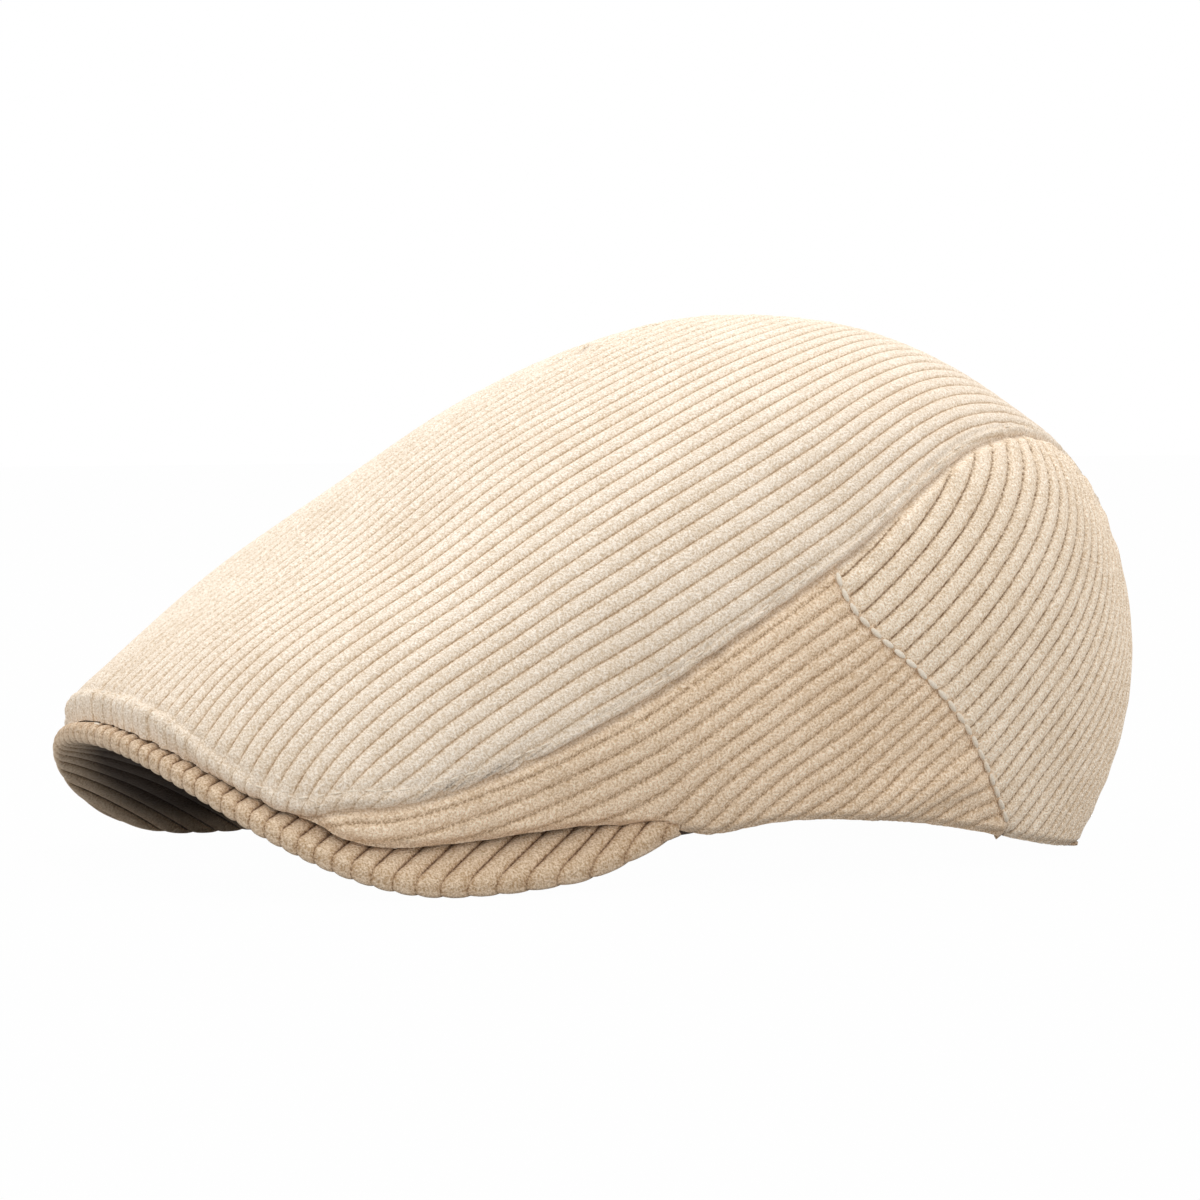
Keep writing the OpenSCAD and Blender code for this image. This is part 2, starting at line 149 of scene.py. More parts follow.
def bezier_way(c: Array, t: Array) -> Array:
    """Directions of travel of cubic Bezier curves, with bezier's arguments and shape."""
    t = np.asarray(t)[..., None]
    s = 1 - t
    return (
        s * s * (c[..., 1, :] - c[..., 0, :]) + 2 * s * t * (c[..., 2, :] - c[..., 1, :])
        + t * t * (c[..., 3, :] - c[..., 2, :])
    )


def ribbed(rib: Callable[[Array], Array], u: Array, t: Array, right: Array) -> tuple[Array, Array]:
    """A surface that is made of Bezier ribs.

    Args:
        rib: Gives the control points of the ribs at stations.
        u: Stations.
        t: Shares of the way along the ribs.
        right: Whether each place is on the right, as a mirror image of the left.

    Returns:
        Points in mm, and outward directions of length 1.
    """
    c = rib(u)
    points = bezier(c, t)
    ahead = bezier(rib(u + RIB_STEP), t) - bezier(rib(u - RIB_STEP), t)
    ways = unit(np.cross(bezier_way(c, t), ahead))
    side = np.where(right, -1.0, 1.0)
    points[..., 0] *= side
    ways[..., 0] *= side
    return points, ways


def ripple(places: Array, wavelength: float, seed: int, waves: int = 7) -> Array:
    """Seeded soft unevenness, made of a few crossing waves.

    Args:
        places: Places in mm, with one coordinate or more in the last axis.
        wavelength: Rough distance between two swellings, in mm.
        seed: Picks the pattern.
        waves: How many waves cross.

    Returns:
        Values that stay near -1 to 1.
    """
    dice = np.random.default_rng(seed)
    ways = unit(dice.normal(size=(waves, places.shape[-1])))
    sizes = wavelength * dice.uniform(0.75, 1.35, waves)
    phases = dice.uniform(0, 2 * np.pi, waves)
    total = np.zeros(places.shape[:-1])
    for way, size, phase in zip(ways, sizes, phases):
        total += np.sin(2 * np.pi * (places @ way) / size + phase)
    return total / math.sqrt(waves)


def run_along(points: Array) -> Array:
    """Distances along lines of points, from each line's first point.

    Args:
        points: The lines, with the second last axis along them.

    Returns:
        One distance for each point.
    """
    steps = np.linalg.norm(np.diff(points, axis=-2), axis=-1)
    return np.concatenate([np.zeros(steps.shape[:-1] + (1,)), np.cumsum(steps, -1)], -1)


def closest(places: Array, line: Array) -> Array:
    """Find the point of a line that is closest to each place.

    Args:
        places: One row for each place.
        line: One row for each point of the line.

    Returns:
        The numbers of the line's points.
    """
    squares = (line * line).sum(1)
    parts = [places[start:start + BATCH] for start in range(0, len(places), BATCH)]
    return np.concatenate([(squares - 2 * part @ line.T).argmin(1) for part in parts])


def nearest(places: Array, line: Array) -> tuple[Array, Array]:
    """Distance of each place to a line, and how far along the line its nearest point is.

    Args:
        places: Places in mm, in any grid.
        line: The line's own points, close together.

    Returns:
        The distances, and the runs along the line, both in mm.
    """
    run = run_along(line)
    flat = places.reshape(-1, 3)
    index = closest(flat, line)
    a = line[np.maximum(index - 1, 0)]
    b = line[index]
    c = line[np.minimum(index + 1, len(line) - 1)]
    best = np.linalg.norm(flat - b, axis=1)
    for p, q in ((a, b), (b, c)):
        way = q - p
        share = ((flat - p) * way).sum(1) / np.maximum((way * way).sum(1), 1e-9)
        foot = p + np.clip(share, 0, 1)[:, None] * way
        best = np.minimum(best, np.linalg.norm(flat - foot, axis=1))
    return best.reshape(places.shape[:-1]), run[index].reshape(places.shape[:-1])


def row_places(length: Array, ends: int, middle: int, step: float) -> Array:
    """Places of rows along columns, close together near both ends.

    Args:
        length: Length of each column, in mm.
        ends: How many steps lie close together at each end.
        middle: How many steps lie between them.
        step: Length of a close step, in mm.

    Returns:
        A grid of distances from each column's start: columns, then rows.
    """
    reach = np.minimum(ends * step, length * 0.3)[:, None]
    whole = length[:, None]
    return np.concatenate([
        reach * np.arange(ends) / ends,
        reach + (whole - 2 * reach) * np.arange(middle) / middle,
        whole - reach + reach * np.arange(ends + 1) / ends,
    ], axis=1)


# ---------------------------------------------------------------- the cap's own shape


@dataclass
class CapShape:
    """The cap's driving sizes in mm, and the surfaces that follow from them, as the CAD has them."""

    cap_length: float = 269.0
    crown_height: float = 134.0
    crown_width: float = 172.0
    tail_width: float = 68.0
    head_length: float = 204.0
    head_width: float = 164.0
    ear_rise: float = 14.0
    visor_width: float = 176.0
    visor_arch: float = 32.0
    visor_thickness: float = 5.2
    cloth: float = 1.8
    cover: float = 1.3
    felt: float = 0.8
    lining: float = 0.5
    band_height: float = 32.0
    band: float = 1.2
    band_foot: float = 1.0
    gap: float = 0.2
    clearance: float = 0.7
    arch_power: float = 2.15
    outline_power: float = 0.93
    hem_power: float = 0.91
    visor_sweep: float = 116.0
    visor_end: float = 68.8
    visor_blend: float = 12.0
    corner_lift: float = 4.0
    last_station: int = 9
    side_start: float = 0.8
    side_ease: float = 0.9
    seam_top: float = 4.0
    seam_foot: float = 5.48
    seam_power: float = 1.85
    edge_margin: float = 3.0
    rib_steps: int = 24
    mid_line: tuple = (
        (0.009, 0.309), (0.087, 0.450), (0.215, 0.630), (0.384, 0.856), (0.580, 1.000),
        (0.764, 0.972), (0.914, 0.801), (0.990, 0.535), (0.981, 0.240), (0.954, 0.000),
    )
    reach: tuple = (0.26, 0.50, 0.66, 0.76, 0.79, 0.72, 0.62, 0.49, 0.38, 0.20)
    shoulder: tuple = (
        (0.40, 0.020, 0.293), (0.815, 0.094, 0.285), (1.05, 0.206, 0.345), (1.13, 0.406, 0.449),
        (1.14, 0.598, 0.584), (1.095, 0.785, 0.674), (0.90, 0.914, 0.573), (0.68, 0.964, 0.345),
        (0.50, 0.957, 0.158), (0.27, 0.954, 0.000),
    )
    visor_feet: tuple = ((34.0, 2.8), (56.0, 4.0), (80.0, 5.6))
    hem_feet: tuple = (70.0, 90.0, 111.0, 132.0, 143.5, 150.0, 154.0)
    top_half_shares: tuple = (0.698, 0.977, 1.337, 1.395, 1.279, 0.849, 0.488, 0.477, 0.453)
    lining_overlap: float = 4.0
    lining_mid_line: tuple = (
        (0.225, 0.560), (0.300, 0.690), (0.420, 0.830), (0.580, 0.930),
        (0.740, 0.912), (0.870, 0.785), (0.935, 0.545),
    )
    lining_feet: tuple = (14.0, 36.0, 55.0, 73.0, 90.0, 108.0, 128.0, 146.0, 164.0)
    lining_width: float = 0.6484
    lining_shoulder_width: float = 0.9726
    lining_shoulder_up: float = 0.56

    def __post_init__(self) -> None:
        """Work out the values that follow from the driving sizes."""
        self.visor_half = self.visor_width / 2
        self.visor_mid = self.visor_thickness / 2
        self.visor_top_z = self.visor_mid * 0.95 + self.visor_arch * (
            1 - 1.1 / self.visor_half
        ) ** self.arch_power
        self.front_y = -self.cap_length / 2
        self.corner_y = self.front_y + 0.225 * self.cap_length
        self.corner_run = 0.47 * self.cap_length
        self.hem_half = self.head_width / 2
        self.hem_mid_y = 0.459 * self.cap_length - self.head_length / 2
        self.band_inset = self.cloth + 2 * self.gap
        self.visor_end_y = float(self.visor_outline(np.array(self.visor_sweep))[1])
        self._ribs()
        self._lining_ribs()

    def _ribs(self) -> None:
        """Place the control points of the crown's ribs."""
        mid = np.array(self.mid_line)
        fine = along(mid, np.arange(0, self.last_station + 1e-6, 0.05))
        self.rear, self.peak = fine.max(0)
        y, z = self.y_at(mid[:, 0]), self.z_at(mid[:, 1])
        half = self.crown_width / 2
        shoulder = np.array(self.shoulder)
        self.mid_points = np.stack([0 * y, y, z], 1)
        self.reach_points = np.stack([np.array(self.reach) * half, y, z], 1)
        self.shoulder_points = np.stack([
            shoulder[:, 0] * half, self.y_at(shoulder[:, 1]), self.z_at(shoulder[:, 2])
        ], 1)
        feet = []
        for angle, inset in self.visor_feet:
            x, y_foot = self.visor_inset(np.array(angle), np.array(inset))
            lift = self.visor_mid + self.cloth + self.gap
            feet.append([x, y_foot, float(self.visor_z(x, y_foot)) + lift])
        self.foot_points = np.array(feet + [self.hem_point(np.array(a)) for a in self.hem_feet])
        shares = np.array(self.top_half_shares) * self.crown_width / 2
        self.top_half_points = np.append(shares, self.tail_width / 2)[:, None]

    def _lining_ribs(self) -> None:
        """Place the lining's middle line."""
        self.lining_reach = self.lining_width * self.crown_width / self.head_width
        self.lining_shoulder_out = self.lining_shoulder_width * self.crown_width / self.head_width
        self.lining_inset = self.band_inset - self.gap - 0.1 - self.lining
        mid = np.array(self.lining_mid_line)
        middle = np.stack([0 * mid[:, 0], self.y_at(mid[:, 0]), self.z_at(mid[:, 1])], 1)
        ends = self.lining_foot(np.array([0.0, 180.0]))
        self.lining_mid_points = np.concatenate([ends[:1], middle, ends[1:]])

    def y_at(self, share: Array) -> Array:
        """Place along the cap of a share of its length from the front."""
        return self.front_y + share / self.rear * self.cap_length

    def z_at(self, share: Array) -> Array:
        """Height of a share of the crown's height."""
        return share / self.peak * self.crown_height

    def visor_z(self, x: Array, y: Array) -> Array:
        """Height of the middle of the visor's thickness over a place in plan."""
        share = np.minimum(np.abs(x) / self.visor_half, 1.03)
        lift = self.corner_lift * smooth((np.asarray(y) - self.corner_y - 30) / 35)
        return self.visor_top_z - self.visor_arch * share**self.arch_power + lift

    def visor_outline(self, a: Array) -> Array:
        """Outline of the visor in plan at angles a, in degrees from the middle of its front."""
        s, c = np.sin(np.radians(a)), np.cos(np.radians(a))
        x = self.visor_half * np.sign(s) * np.abs(s) ** self.outline_power
        front = self.corner_y - (self.corner_y - self.front_y) * np.abs(c) ** self.outline_power
        return np.stack([x, np.where(c > 0, front, self.corner_y - self.corner_run * c)], -1)

    def visor_inset(self, a: Array, d: Array) -> Array:
        """The visor's outline at angles a, moved inwards by d mm."""
        step = unit(self.visor_outline(a + 0.5) - self.visor_outline(a - 0.5))
        inward = np.stack([-step[..., 1], step[..., 0]], -1)
        return self.visor_outline(a) + inward * np.asarray(d)[..., None]

    def hem_outline(self, a: Array, d: float = 0.0) -> Array:
        """The hem in plan at angles a, moved inwards by d mm."""
        s, c = np.sin(np.radians(a)), np.cos(np.radians(a))
        x = (self.hem_half - d) * np.sign(s) * np.abs(s) ** self.hem_power
        reach = self.head_length / 2 - d
        return np.stack([x, self.hem_mid_y - reach * np.sign(c) * np.abs(c) ** self.hem_power], -1)

    def hem_z(self, a: Array, lift: float) -> Array:
        """Height of the hem at angles a: lift over the visor in front, its own height behind."""
        b = np.abs(a)
        p = self.hem_outline(b)
        side = self.ear_rise * np.maximum(np.cos(np.radians((b - 85) * 90 / 95)), 0) ** 4
        t = smooth((b - self.visor_end) / self.visor_blend)
        return (self.visor_z(p[..., 0], p[..., 1]) + lift) * (1 - t) + side * t

    def hem_point(self, a: Array) -> Array:
        """Points of the crown's bottom edge at angles a."""
        z = self.hem_z(a, self.visor_mid + 2 * self.gap)
        return np.concatenate([self.hem_outline(a), z[..., None]], -1)

    def band_point(self, a: Array, inset: float, lift: float) -> Array:
        """Points of the sweatband at angles a, inset from the hem and lift over its own foot."""
        b = (np.asarray(a) + 180) % 360 - 180
        z = self.hem_z(b, -self.visor_mid) + self.band_foot + lift
        return np.concatenate([self.hem_outline(a, inset), z[..., None]], -1)

    def band_face(self, a: Array, inset: float, lift: float) -> tuple[Array, Array]:
        """Points of the sweatband as band_point gives them, and its outward directions there."""
        step = self.band_point(a + 0.5, inset, lift) - self.band_point(a - 0.5, inset, lift)
        return self.band_point(a, inset, lift), unit(np.cross(step, np.array([0, 0, 1.0])))

    def foot(self, u: Array) -> Array:
        """Bottom ends of the ribs at stations u."""
        front = len(self.visor_feet)
        angles = along(np.array(self.hem_feet)[:, None], np.maximum(u - front, 0))[..., 0]
        on_visor = along(self.foot_points, u)
        return np.where((u < front)[..., None], on_visor, self.hem_point(angles))

    def rib(self, u: Array) -> Array:
        """Control points of the ribs at stations u."""
        return np.stack([
            along(self.mid_points, u), along(self.reach_points, u),
            along(self.shoulder_points, u), self.foot(u),
        ], -2)

    def rib_runs(self, u: Array) -> Array:
        """Distances from the middle line at even steps along the ribs at stations u."""
        shares = np.linspace(0, 1, self.rib_steps + 1)
        c = self.rib(u)[..., None, :, :]
        return run_along(bezier(c, np.broadcast_to(shares, np.shape(u) + shares.shape)))

    def rib_length(self, u: Array) -> Array:
        """Lengths of the ribs at stations u, from the middle line to the bottom edge."""
        return self.rib_runs(u)[..., -1]

    def top_half(self, u: Array) -> Array:
        """Half widths of the top panel at stations u."""
        whole = self.rib_length(u)
        sewn = np.minimum(along(self.top_half_points, u)[..., 0], whole - self.edge_margin)
        return whole + (sewn - whole) * smooth((u - self.side_start) / self.side_ease)

    def back_seam(self, r: Array) -> Array:
        """Stations of the seam between side and back panel, for shares r of the way down."""
        return self.seam_top + (self.seam_foot - self.seam_top) * np.asarray(r) ** self.seam_power

    def seam_line(self, share: Array) -> tuple[Array, Array]:
        """Stations of the side seam and distances from the middle line, with back_seam's shares."""
        u = self.back_seam(share)
        top = self.top_half(u)
        return u, top + (self.rib_length(u) - top) * share

    def crown(self, u: Array, q: Array) -> tuple[Array, Array]:
        """The crown's outer face and its outward directions.

        Args:
            u: Stations from the front edge to the hem at the back.
            q: Distances from the middle line along the ribs, below 0 on the right.

        Returns:
            Points in mm, and directions of length 1.
        """
        runs = self.rib_runs(u)
        run = np.clip(np.abs(q), 0, runs[..., -1])
        i = np.clip((runs <= run[..., None]).sum(-1) - 1, 0, self.rib_steps - 1)
        low = np.take_along_axis(runs, i[..., None], -1)[..., 0]
        high = np.take_along_axis(runs, i[..., None] + 1, -1)[..., 0]
        t = (i + (run - low) / np.maximum(high - low, 1e-9)) / self.rib_steps
        points, ways = ribbed(self.rib, u, t, q < 0)
        return self.over_visor(points), ways

    def over_visor(self, points: Array) -> Array:
        """The same points, kept on top of the visor where the crown lies on it."""
        floor = self.visor_z(points[..., 0], points[..., 1]) + self.visor_mid + self.gap
        lifted = points.copy()
        lifted[..., 2] = np.where(
            points[..., 1] > self.visor_end_y + 1.5, points[..., 2],
            np.maximum(points[..., 2], floor),
        )
        return lifted

    def lining_foot(self, a: Array) -> Array:
        """Points of the lining's edge behind the sweatband, at angles a."""
        return self.band_point(a, self.lining_inset, self.band_height - self.lining_overlap)

    def lining_rib(self, u: Array) -> Array:
        """Control points of the lining's ribs at stations u."""
        m = along(self.lining_mid_points, u)
        f = self.lining_foot(along(np.array(self.lining_feet)[:, None], u)[..., 0])
        up = self.lining_shoulder_up
        level = np.stack([f[..., 0] * self.lining_reach, m[..., 1], m[..., 2]], -1)
        shoulder = np.stack([
            f[..., 0] * self.lining_shoulder_out,
            f[..., 1] + (m[..., 1] - f[..., 1]) * 0.3,
            f[..., 2] + (m[..., 2] - f[..., 2]) * up,
        ], -1)
        return np.stack([m, level, shoulder, f], -2)

    def lining_face(self, u: Array, t: Array) -> tuple[Array, Array]:
        """The lining's outer face and its outward directions.

        Args:
            u: Stations from the front to the back of the lining.
            t: Shares of the way from the middle line to the edge, below 0 on the right.

        Returns:
            Points in mm, and directions of length 1.
        """
        return ribbed(self.lining_rib, u, np.abs(t), t < 0)


# ---------------------------------------------------------------- finishes


def linear(red: int, green: int, blue: int) -> Colour:
    """A colour written as it shows on a screen, in the renderer's own values."""
    def one(v: int) -> float:
        """One channel."""
        s = v / 255
        return s / 12.92 if s <= 0.04045 else ((s + 0.055) / 1.055) ** 2.4
    return one(red), one(green), one(blue), 1.0


class Graph:
    """A node tree with short calls to add and join nodes."""

    def __init__(self, tree: bpy.types.NodeTree) -> None:
        """Keep the tree.

        Args:
            tree: The tree that nodes are added to.
        """
        self.tree = tree

    def add(self, kind: str, inputs: Inputs | None = None, **settings: object) -> Node:
        """Add a node.

        Args:
            kind: The node's type.
            inputs: Values or sockets for its inputs, by name or number.
            settings: Its other settings.

        Returns:
            The node.
        """
        made = self.tree.nodes.new(kind)
        for name, value in settings.items():
            setattr(made, name, value)
        for name, value in (inputs or {}).items():
            if isinstance(value, bpy.types.NodeSocket):
                self.tree.links.new(value, made.inputs[name])
            else:
                made.inputs[name].default_value = value
        return made

    def join(self, output: Socket, target: Socket) -> None:
        """Link an output to an input."""
        self.tree.links.new(output, target)

    def math(self, operation: str, *values: float | Socket) -> Socket:
        """Add a Math node and give its result."""
        inputs: Inputs = dict(enumerate(values))
        return self.add("ShaderNodeMath", inputs, operation=operation).outputs[0]

    def mix(self, share: float | Socket, first: Colour | Socket, second: Colour | Socket,
            blend: str = "MIX") -> Socket:
        """Add a colour mix and give its result.

        Args:
            share: How much of the second colour.
            first: The first colour.
            second: The second colour.
            blend: How they meet.

        Returns:
            The mixed colour.
        """
        node = self.add("ShaderNodeMix", {0: share, 6: first, 7: second},
                        data_type="RGBA", blend_type=blend)
        return node.outputs[2]

    def scaled(self, value: Socket, low: float, high: float, to_low: float,
               to_high: float) -> Socket:
        """Bring a value from one range to another, and keep it there."""
        inputs: Inputs = {0: value, 1: low, 2: high, 3: to_low, 4: to_high}
        return self.add("ShaderNodeMapRange", inputs).outputs[0]

    def noise(self, places: Socket, scale: float, detail: float = 2.0, rough: float = 0.5) -> Socket:
        """Add a noise and give its value."""
        inputs: Inputs = {
            "Vector": places, "Scale": scale, "Detail": detail, "Roughness": rough,
        }
        return self.add("ShaderNodeTexNoise", inputs).outputs["Fac"]


def group(name: str, inputs: dict[str, object],
          outputs: tuple[str, ...]) -> tuple[Graph, Node, Node]:
    """Start a node group.

    Args:
        name: The group's name.
        inputs: Its inputs with their first values. A tuple is a colour, or a vector if it is empty.
        outputs: Its outputs. One named Color is a colour, and the rest are values.

    Returns:
        The graph inside it, and its input and output nodes.
    """
    tree = bpy.data.node_groups.new(name, "ShaderNodeTree")
    for key, value in inputs.items():
        if isinstance(value, tuple):
            kind = "NodeSocketColor" if value else "NodeSocketVector"
        else:
            kind = "NodeSocketFloat"
        made = tree.interface.new_socket(key, in_out="INPUT", socket_type=kind)
        if value != ():
            made.default_value = value
    for key in outputs:
        kind = "NodeSocketColor" if key == "Color" else "NodeSocketFloat"
        tree.interface.new_socket(key, in_out="OUTPUT", socket_type=kind)
    graph = Graph(tree)
    return graph, graph.add("NodeGroupInput"), graph.add("NodeGroupOutput")


class Effects:
    """Node groups that several finishes share, each built once."""

    def __init__(self) -> None:
        """Build the groups."""
        self.pile = self._pile()
        self.weave = self._weave()
        self.fuzz = self._fuzz()

    def _pile(self) -> bpy.types.NodeTree:
        """Cut pile on wales: light ridges, grooves darkened as painted shade, further painted shade from
        its shade input, and fine specks.

        Returns:
            The group, with the outputs Color and Height.
        """
        graph, inside, outside = group("cut_pile", {
            "Place": (), "Ridge Color": (0.8, 0.7, 0.6, 1.0), "Flank Color": (0.7, 0.6, 0.5, 1.0),
            "Groove Color": (0.3, 0.2, 0.1, 1.0), "Ridge": 1.0, "Crease": 0.0,
            "Speck": 0.5, "Mottle": 0.5,
        }, ("Color", "Height"))
        place = inside.outputs["Place"]
        fine = graph.noise(place, 1900.0, 1.0, 0.6)
        specks = graph.scaled(fine, 0.32, 0.68, -1.0, 1.0)
        tufts = graph.scaled(graph.noise(place, 900.0, 2.0, 0.6), 0.3, 0.7, -1.0, 1.0)
        broad = graph.scaled(graph.noise(place, 55.0, 3.0, 0.6), 0.3, 0.7, -1.0, 1.0)
        both = graph.math("ADD", graph.math("MULTIPLY", specks, 0.75),
                          graph.math("MULTIPLY", tufts, 0.25))
        ridge = graph.math("ADD", inside.outputs["Ridge"], graph.math("MULTIPLY", both, 0.10))
        # Across each wale the colour rises from the groove colour, painted shade in the groove, to flank
        # and ridge.
        low = graph.scaled(ridge, 0.02, 0.42, 0.0, 1.0)
        high = graph.scaled(ridge, 0.35, 0.95, 0.0, 1.0)
        colour = graph.mix(low, inside.outputs["Groove Color"], inside.outputs["Flank Color"])
        colour = graph.mix(high, colour, inside.outputs["Ridge Color"])
        # Painted shade: darken towards the groove colour where the shade input asks for it.
        colour = graph.mix(inside.outputs["Crease"], colour, inside.outputs["Groove Color"])
        grain = graph.math("MULTIPLY", both, graph.math("MULTIPLY", inside.outputs["Speck"], 0.40))
        patch = graph.math("MULTIPLY", broad, graph.math("MULTIPLY", inside.outputs["Mottle"], 0.10))
        level = graph.math("ADD", grain, patch)
        parts = [graph.math("MULTIPLY_ADD", level, tint, 1.0) for tint in (0.85, 1.1, 1.45)]
        shade = graph.add("ShaderNodeCombineColor", dict(enumerate(parts))).outputs[0]
        colour = graph.mix(1.0, colour, shade, "MULTIPLY")
        graph.join(colour, outside.inputs["Color"])
        graph.join(both, outside.inputs["Height"])
        return graph.tree

    def _weave(self) -> bpy.types.NodeTree:
        """Diagonal twill lines, as on lining satin and ribbon.

        Returns:
            The group, with the outputs Line and Height.
        """
        graph, inside, outside = group("twill_lines", {
            "Place": (), "Scale": 1000.0, "Slant": 1.0, "Wobble": 0.2,
        }, ("Line", "Height"))
        parts = graph.add("ShaderNodeSeparateXYZ", {0: inside.outputs["Place"]})
        slanted = graph.math("ADD", parts.outputs[0],
                             graph.math("MULTIPLY", parts.outputs[1], inside.outputs["Slant"]))
        wobble = graph.math("MULTIPLY", graph.noise(inside.outputs["Place"], 400.0),
                            inside.outputs["Wobble"])
        turn = graph.math("ADD", graph.math("MULTIPLY", slanted, inside.outputs["Scale"]), wobble)
        wave = graph.math("SINE", graph.math("MULTIPLY", turn, 2 * math.pi))
        line = graph.scaled(wave, -1.0, 1.0, 0.0, 1.0)
        graph.join(line, outside.inputs["Line"])
        grain = graph.noise(inside.outputs["Place"], 3000.0)
        height = graph.math("ADD", line, graph.math("MULTIPLY", grain, 0.3))
        graph.join(height, outside.inputs["Height"])
        return graph.tree

    def _fuzz(self) -> bpy.types.NodeTree:
        """Matted or twisted fibres.

        Returns:
            The group, with the outputs Tone and Height.
        """
        graph, inside, outside = group("fibres", {"Place": (), "Scale": 900.0}, ("Tone", "Height"))
        fine = graph.add("ShaderNodeTexNoise", {
            "Vector": inside.outputs["Place"], "Scale": inside.outputs["Scale"], "Detail": 4.0,
        }).outputs["Fac"]
        broad = graph.noise(inside.outputs["Place"], 60.0, 3.0)
        tone = graph.math("ADD", graph.math("MULTIPLY", fine, 0.7),
                          graph.math("MULTIPLY", broad, 0.3))
        graph.join(graph.scaled(tone, 0.3, 0.7, 0.0, 1.0), outside.inputs["Tone"])
        graph.join(fine, outside.inputs["Height"])
        return graph.tree


def start_material(name: str) -> tuple[bpy.types.Material, Graph, Node, Socket]:
    """Start a material.

    Args:
        name: The material's name.

    Returns:
        The material, its graph, its shader, and the Object coordinates.
    """
    made = bpy.data.materials.new(name)
    made.use_nodes = True
    graph = Graph(made.node_tree)
    shader = made.node_tree.nodes["Principled BSDF"]
    place = graph.add("ShaderNodeTexCoord").outputs["Object"]
    return made, graph, shader, place


def add_bump(graph: Graph, shader: Node, height: Socket, strength: float, distance: float) -> None:
    """Give a shader a bump.

    Args:
        graph: The material's graph.
        shader: The shader.
        height: The height that makes the bump.
        strength: How strong it is, from 0 to 1.
        distance: How high it is, in metres.
    """
    bump = graph.add("ShaderNodeBump", {"Height": height, "Strength": strength, "Distance": distance})
    graph.join(bump.outputs["Normal"], shader.inputs["Normal"])


@dataclass(frozen=True)
class CorduroyFinish:
    """Cotton corduroy with a worn cut pile, its grooves and shaded places darkened as painted shade."""

    name: str = "corduroy"
    ridge: Colour = linear(250, 234, 214)
    flank: Colour = linear(243, 224, 200)
    # The groove colour is painted shade in the grooves, and painted shade elsewhere mixes to it.
    groove: Colour = linear(202, 174, 142)
    speck: float = 0.65
    mottle: float = 0.5
    sheen: float = 0.12

    def make(self, effects: Effects) -> bpy.types.Material:
        """Make the material from the shared pile.

        Args:
            effects: The shared node groups.

        Returns:
            The material.
        """
        made, graph, shader, place = start_material(self.name)
        ridge = graph.add("ShaderNodeAttribute", attribute_name="ridge").outputs["Fac"]
        # The painted shade attribute: darkening at stitches, seams, tucks, hem, flanks and under the
        # visor.
        crease = graph.add("ShaderNodeAttribute", attribute_name="crease").outputs["Fac"]
        pile = graph.add("ShaderNodeGroup", node_tree=effects.pile)
        graph.join(place, pile.inputs["Place"])
        graph.join(ridge, pile.inputs["Ridge"])
        graph.join(crease, pile.inputs["Crease"])
        pile.inputs["Ridge Color"].default_value = self.ridge
        pile.inputs["Flank Color"].default_value = self.flank
        pile.inputs["Groove Color"].default_value = self.groove
        pile.inputs["Speck"].default_value = self.speck
        pile.inputs["Mottle"].default_value = self.mottle
        graph.join(pile.outputs["Color"], shader.inputs["Base Color"])
        shader.inputs["Roughness"].default_value = 0.95
        shader.inputs["Specular IOR Level"].default_value = 0.1
        shader.inputs["Sheen Weight"].default_value = self.sheen
        shader.inputs["Sheen Roughness"].default_value = 0.6
        add_bump(graph, shader, pile.outputs["Height"], 0.55, 0.00025)
        return made


@dataclass(frozen=True)
class WovenFinish:
    """Cloth with twill lines: lining satin or the sweatband's ribbon."""

    name: str
    light: Colour
    dark: Colour
    lines_per_metre: float
    slant: float
    roughness: float
    sheen: float
    bump: float

    def make(self, effects: Effects) -> bpy.types.Material:
        """Make the material from the shared twill lines and fibres."""
        made, graph, shader, place = start_material(self.name)
        cloth = graph.add("ShaderNodeUVMap", uv_map="cloth").outputs["UV"]
        weave = graph.add("ShaderNodeGroup", {
            "Place": cloth, "Scale": self.lines_per_metre, "Slant": self.slant,
        }, node_tree=effects.weave)
        fibres = graph.add("ShaderNodeGroup", {"Place": place, "Scale": 1600.0},
                           node_tree=effects.fuzz)
        tone = graph.math("ADD", graph.math("MULTIPLY", weave.outputs["Line"], 0.6),
                          graph.math("MULTIPLY", fibres.outputs["Tone"], 0.4))
        colour = graph.mix(tone, self.dark, self.light)
        graph.join(colour, shader.inputs["Base Color"])
        rough = graph.scaled(fibres.outputs["Tone"], 0.0, 1.0,
                             self.roughness - 0.08, self.roughness + 0.08)
        graph.join(rough, shader.inputs["Roughness"])
        shader.inputs["Sheen Weight"].default_value = self.sheen
        add_bump(graph, shader, weave.outputs["Height"], 0.5, self.bump)
        return made


@dataclass(frozen=True)
class MattedFinish:
    """Pressed or twisted fibres: the stiffening felt, the visor's board or sewing thread."""

    name: str
    light: Colour
    dark: Colour
    scale: float
    roughness: tuple[float, float]
    bump: tuple[float, float]
    sheen: float = 0.0

    def make(self, effects: Effects) -> bpy.types.Material:
        """Make the material from the shared fibres."""
        made, graph, shader, place = start_material(self.name)
        fibres = graph.add("ShaderNodeGroup", {"Place": place, "Scale": self.scale},
                           node_tree=effects.fuzz)
        tone = fibres.outputs["Tone"]
        graph.join(graph.mix(tone, self.dark, self.light), shader.inputs["Base Color"])
        graph.join(graph.scaled(tone, 0.0, 1.0, *self.roughness), shader.inputs["Roughness"])
        shader.inputs["Sheen Weight"].default_value = self.sheen
        add_bump(graph, shader, fibres.outputs["Height"], *self.bump)
        return made


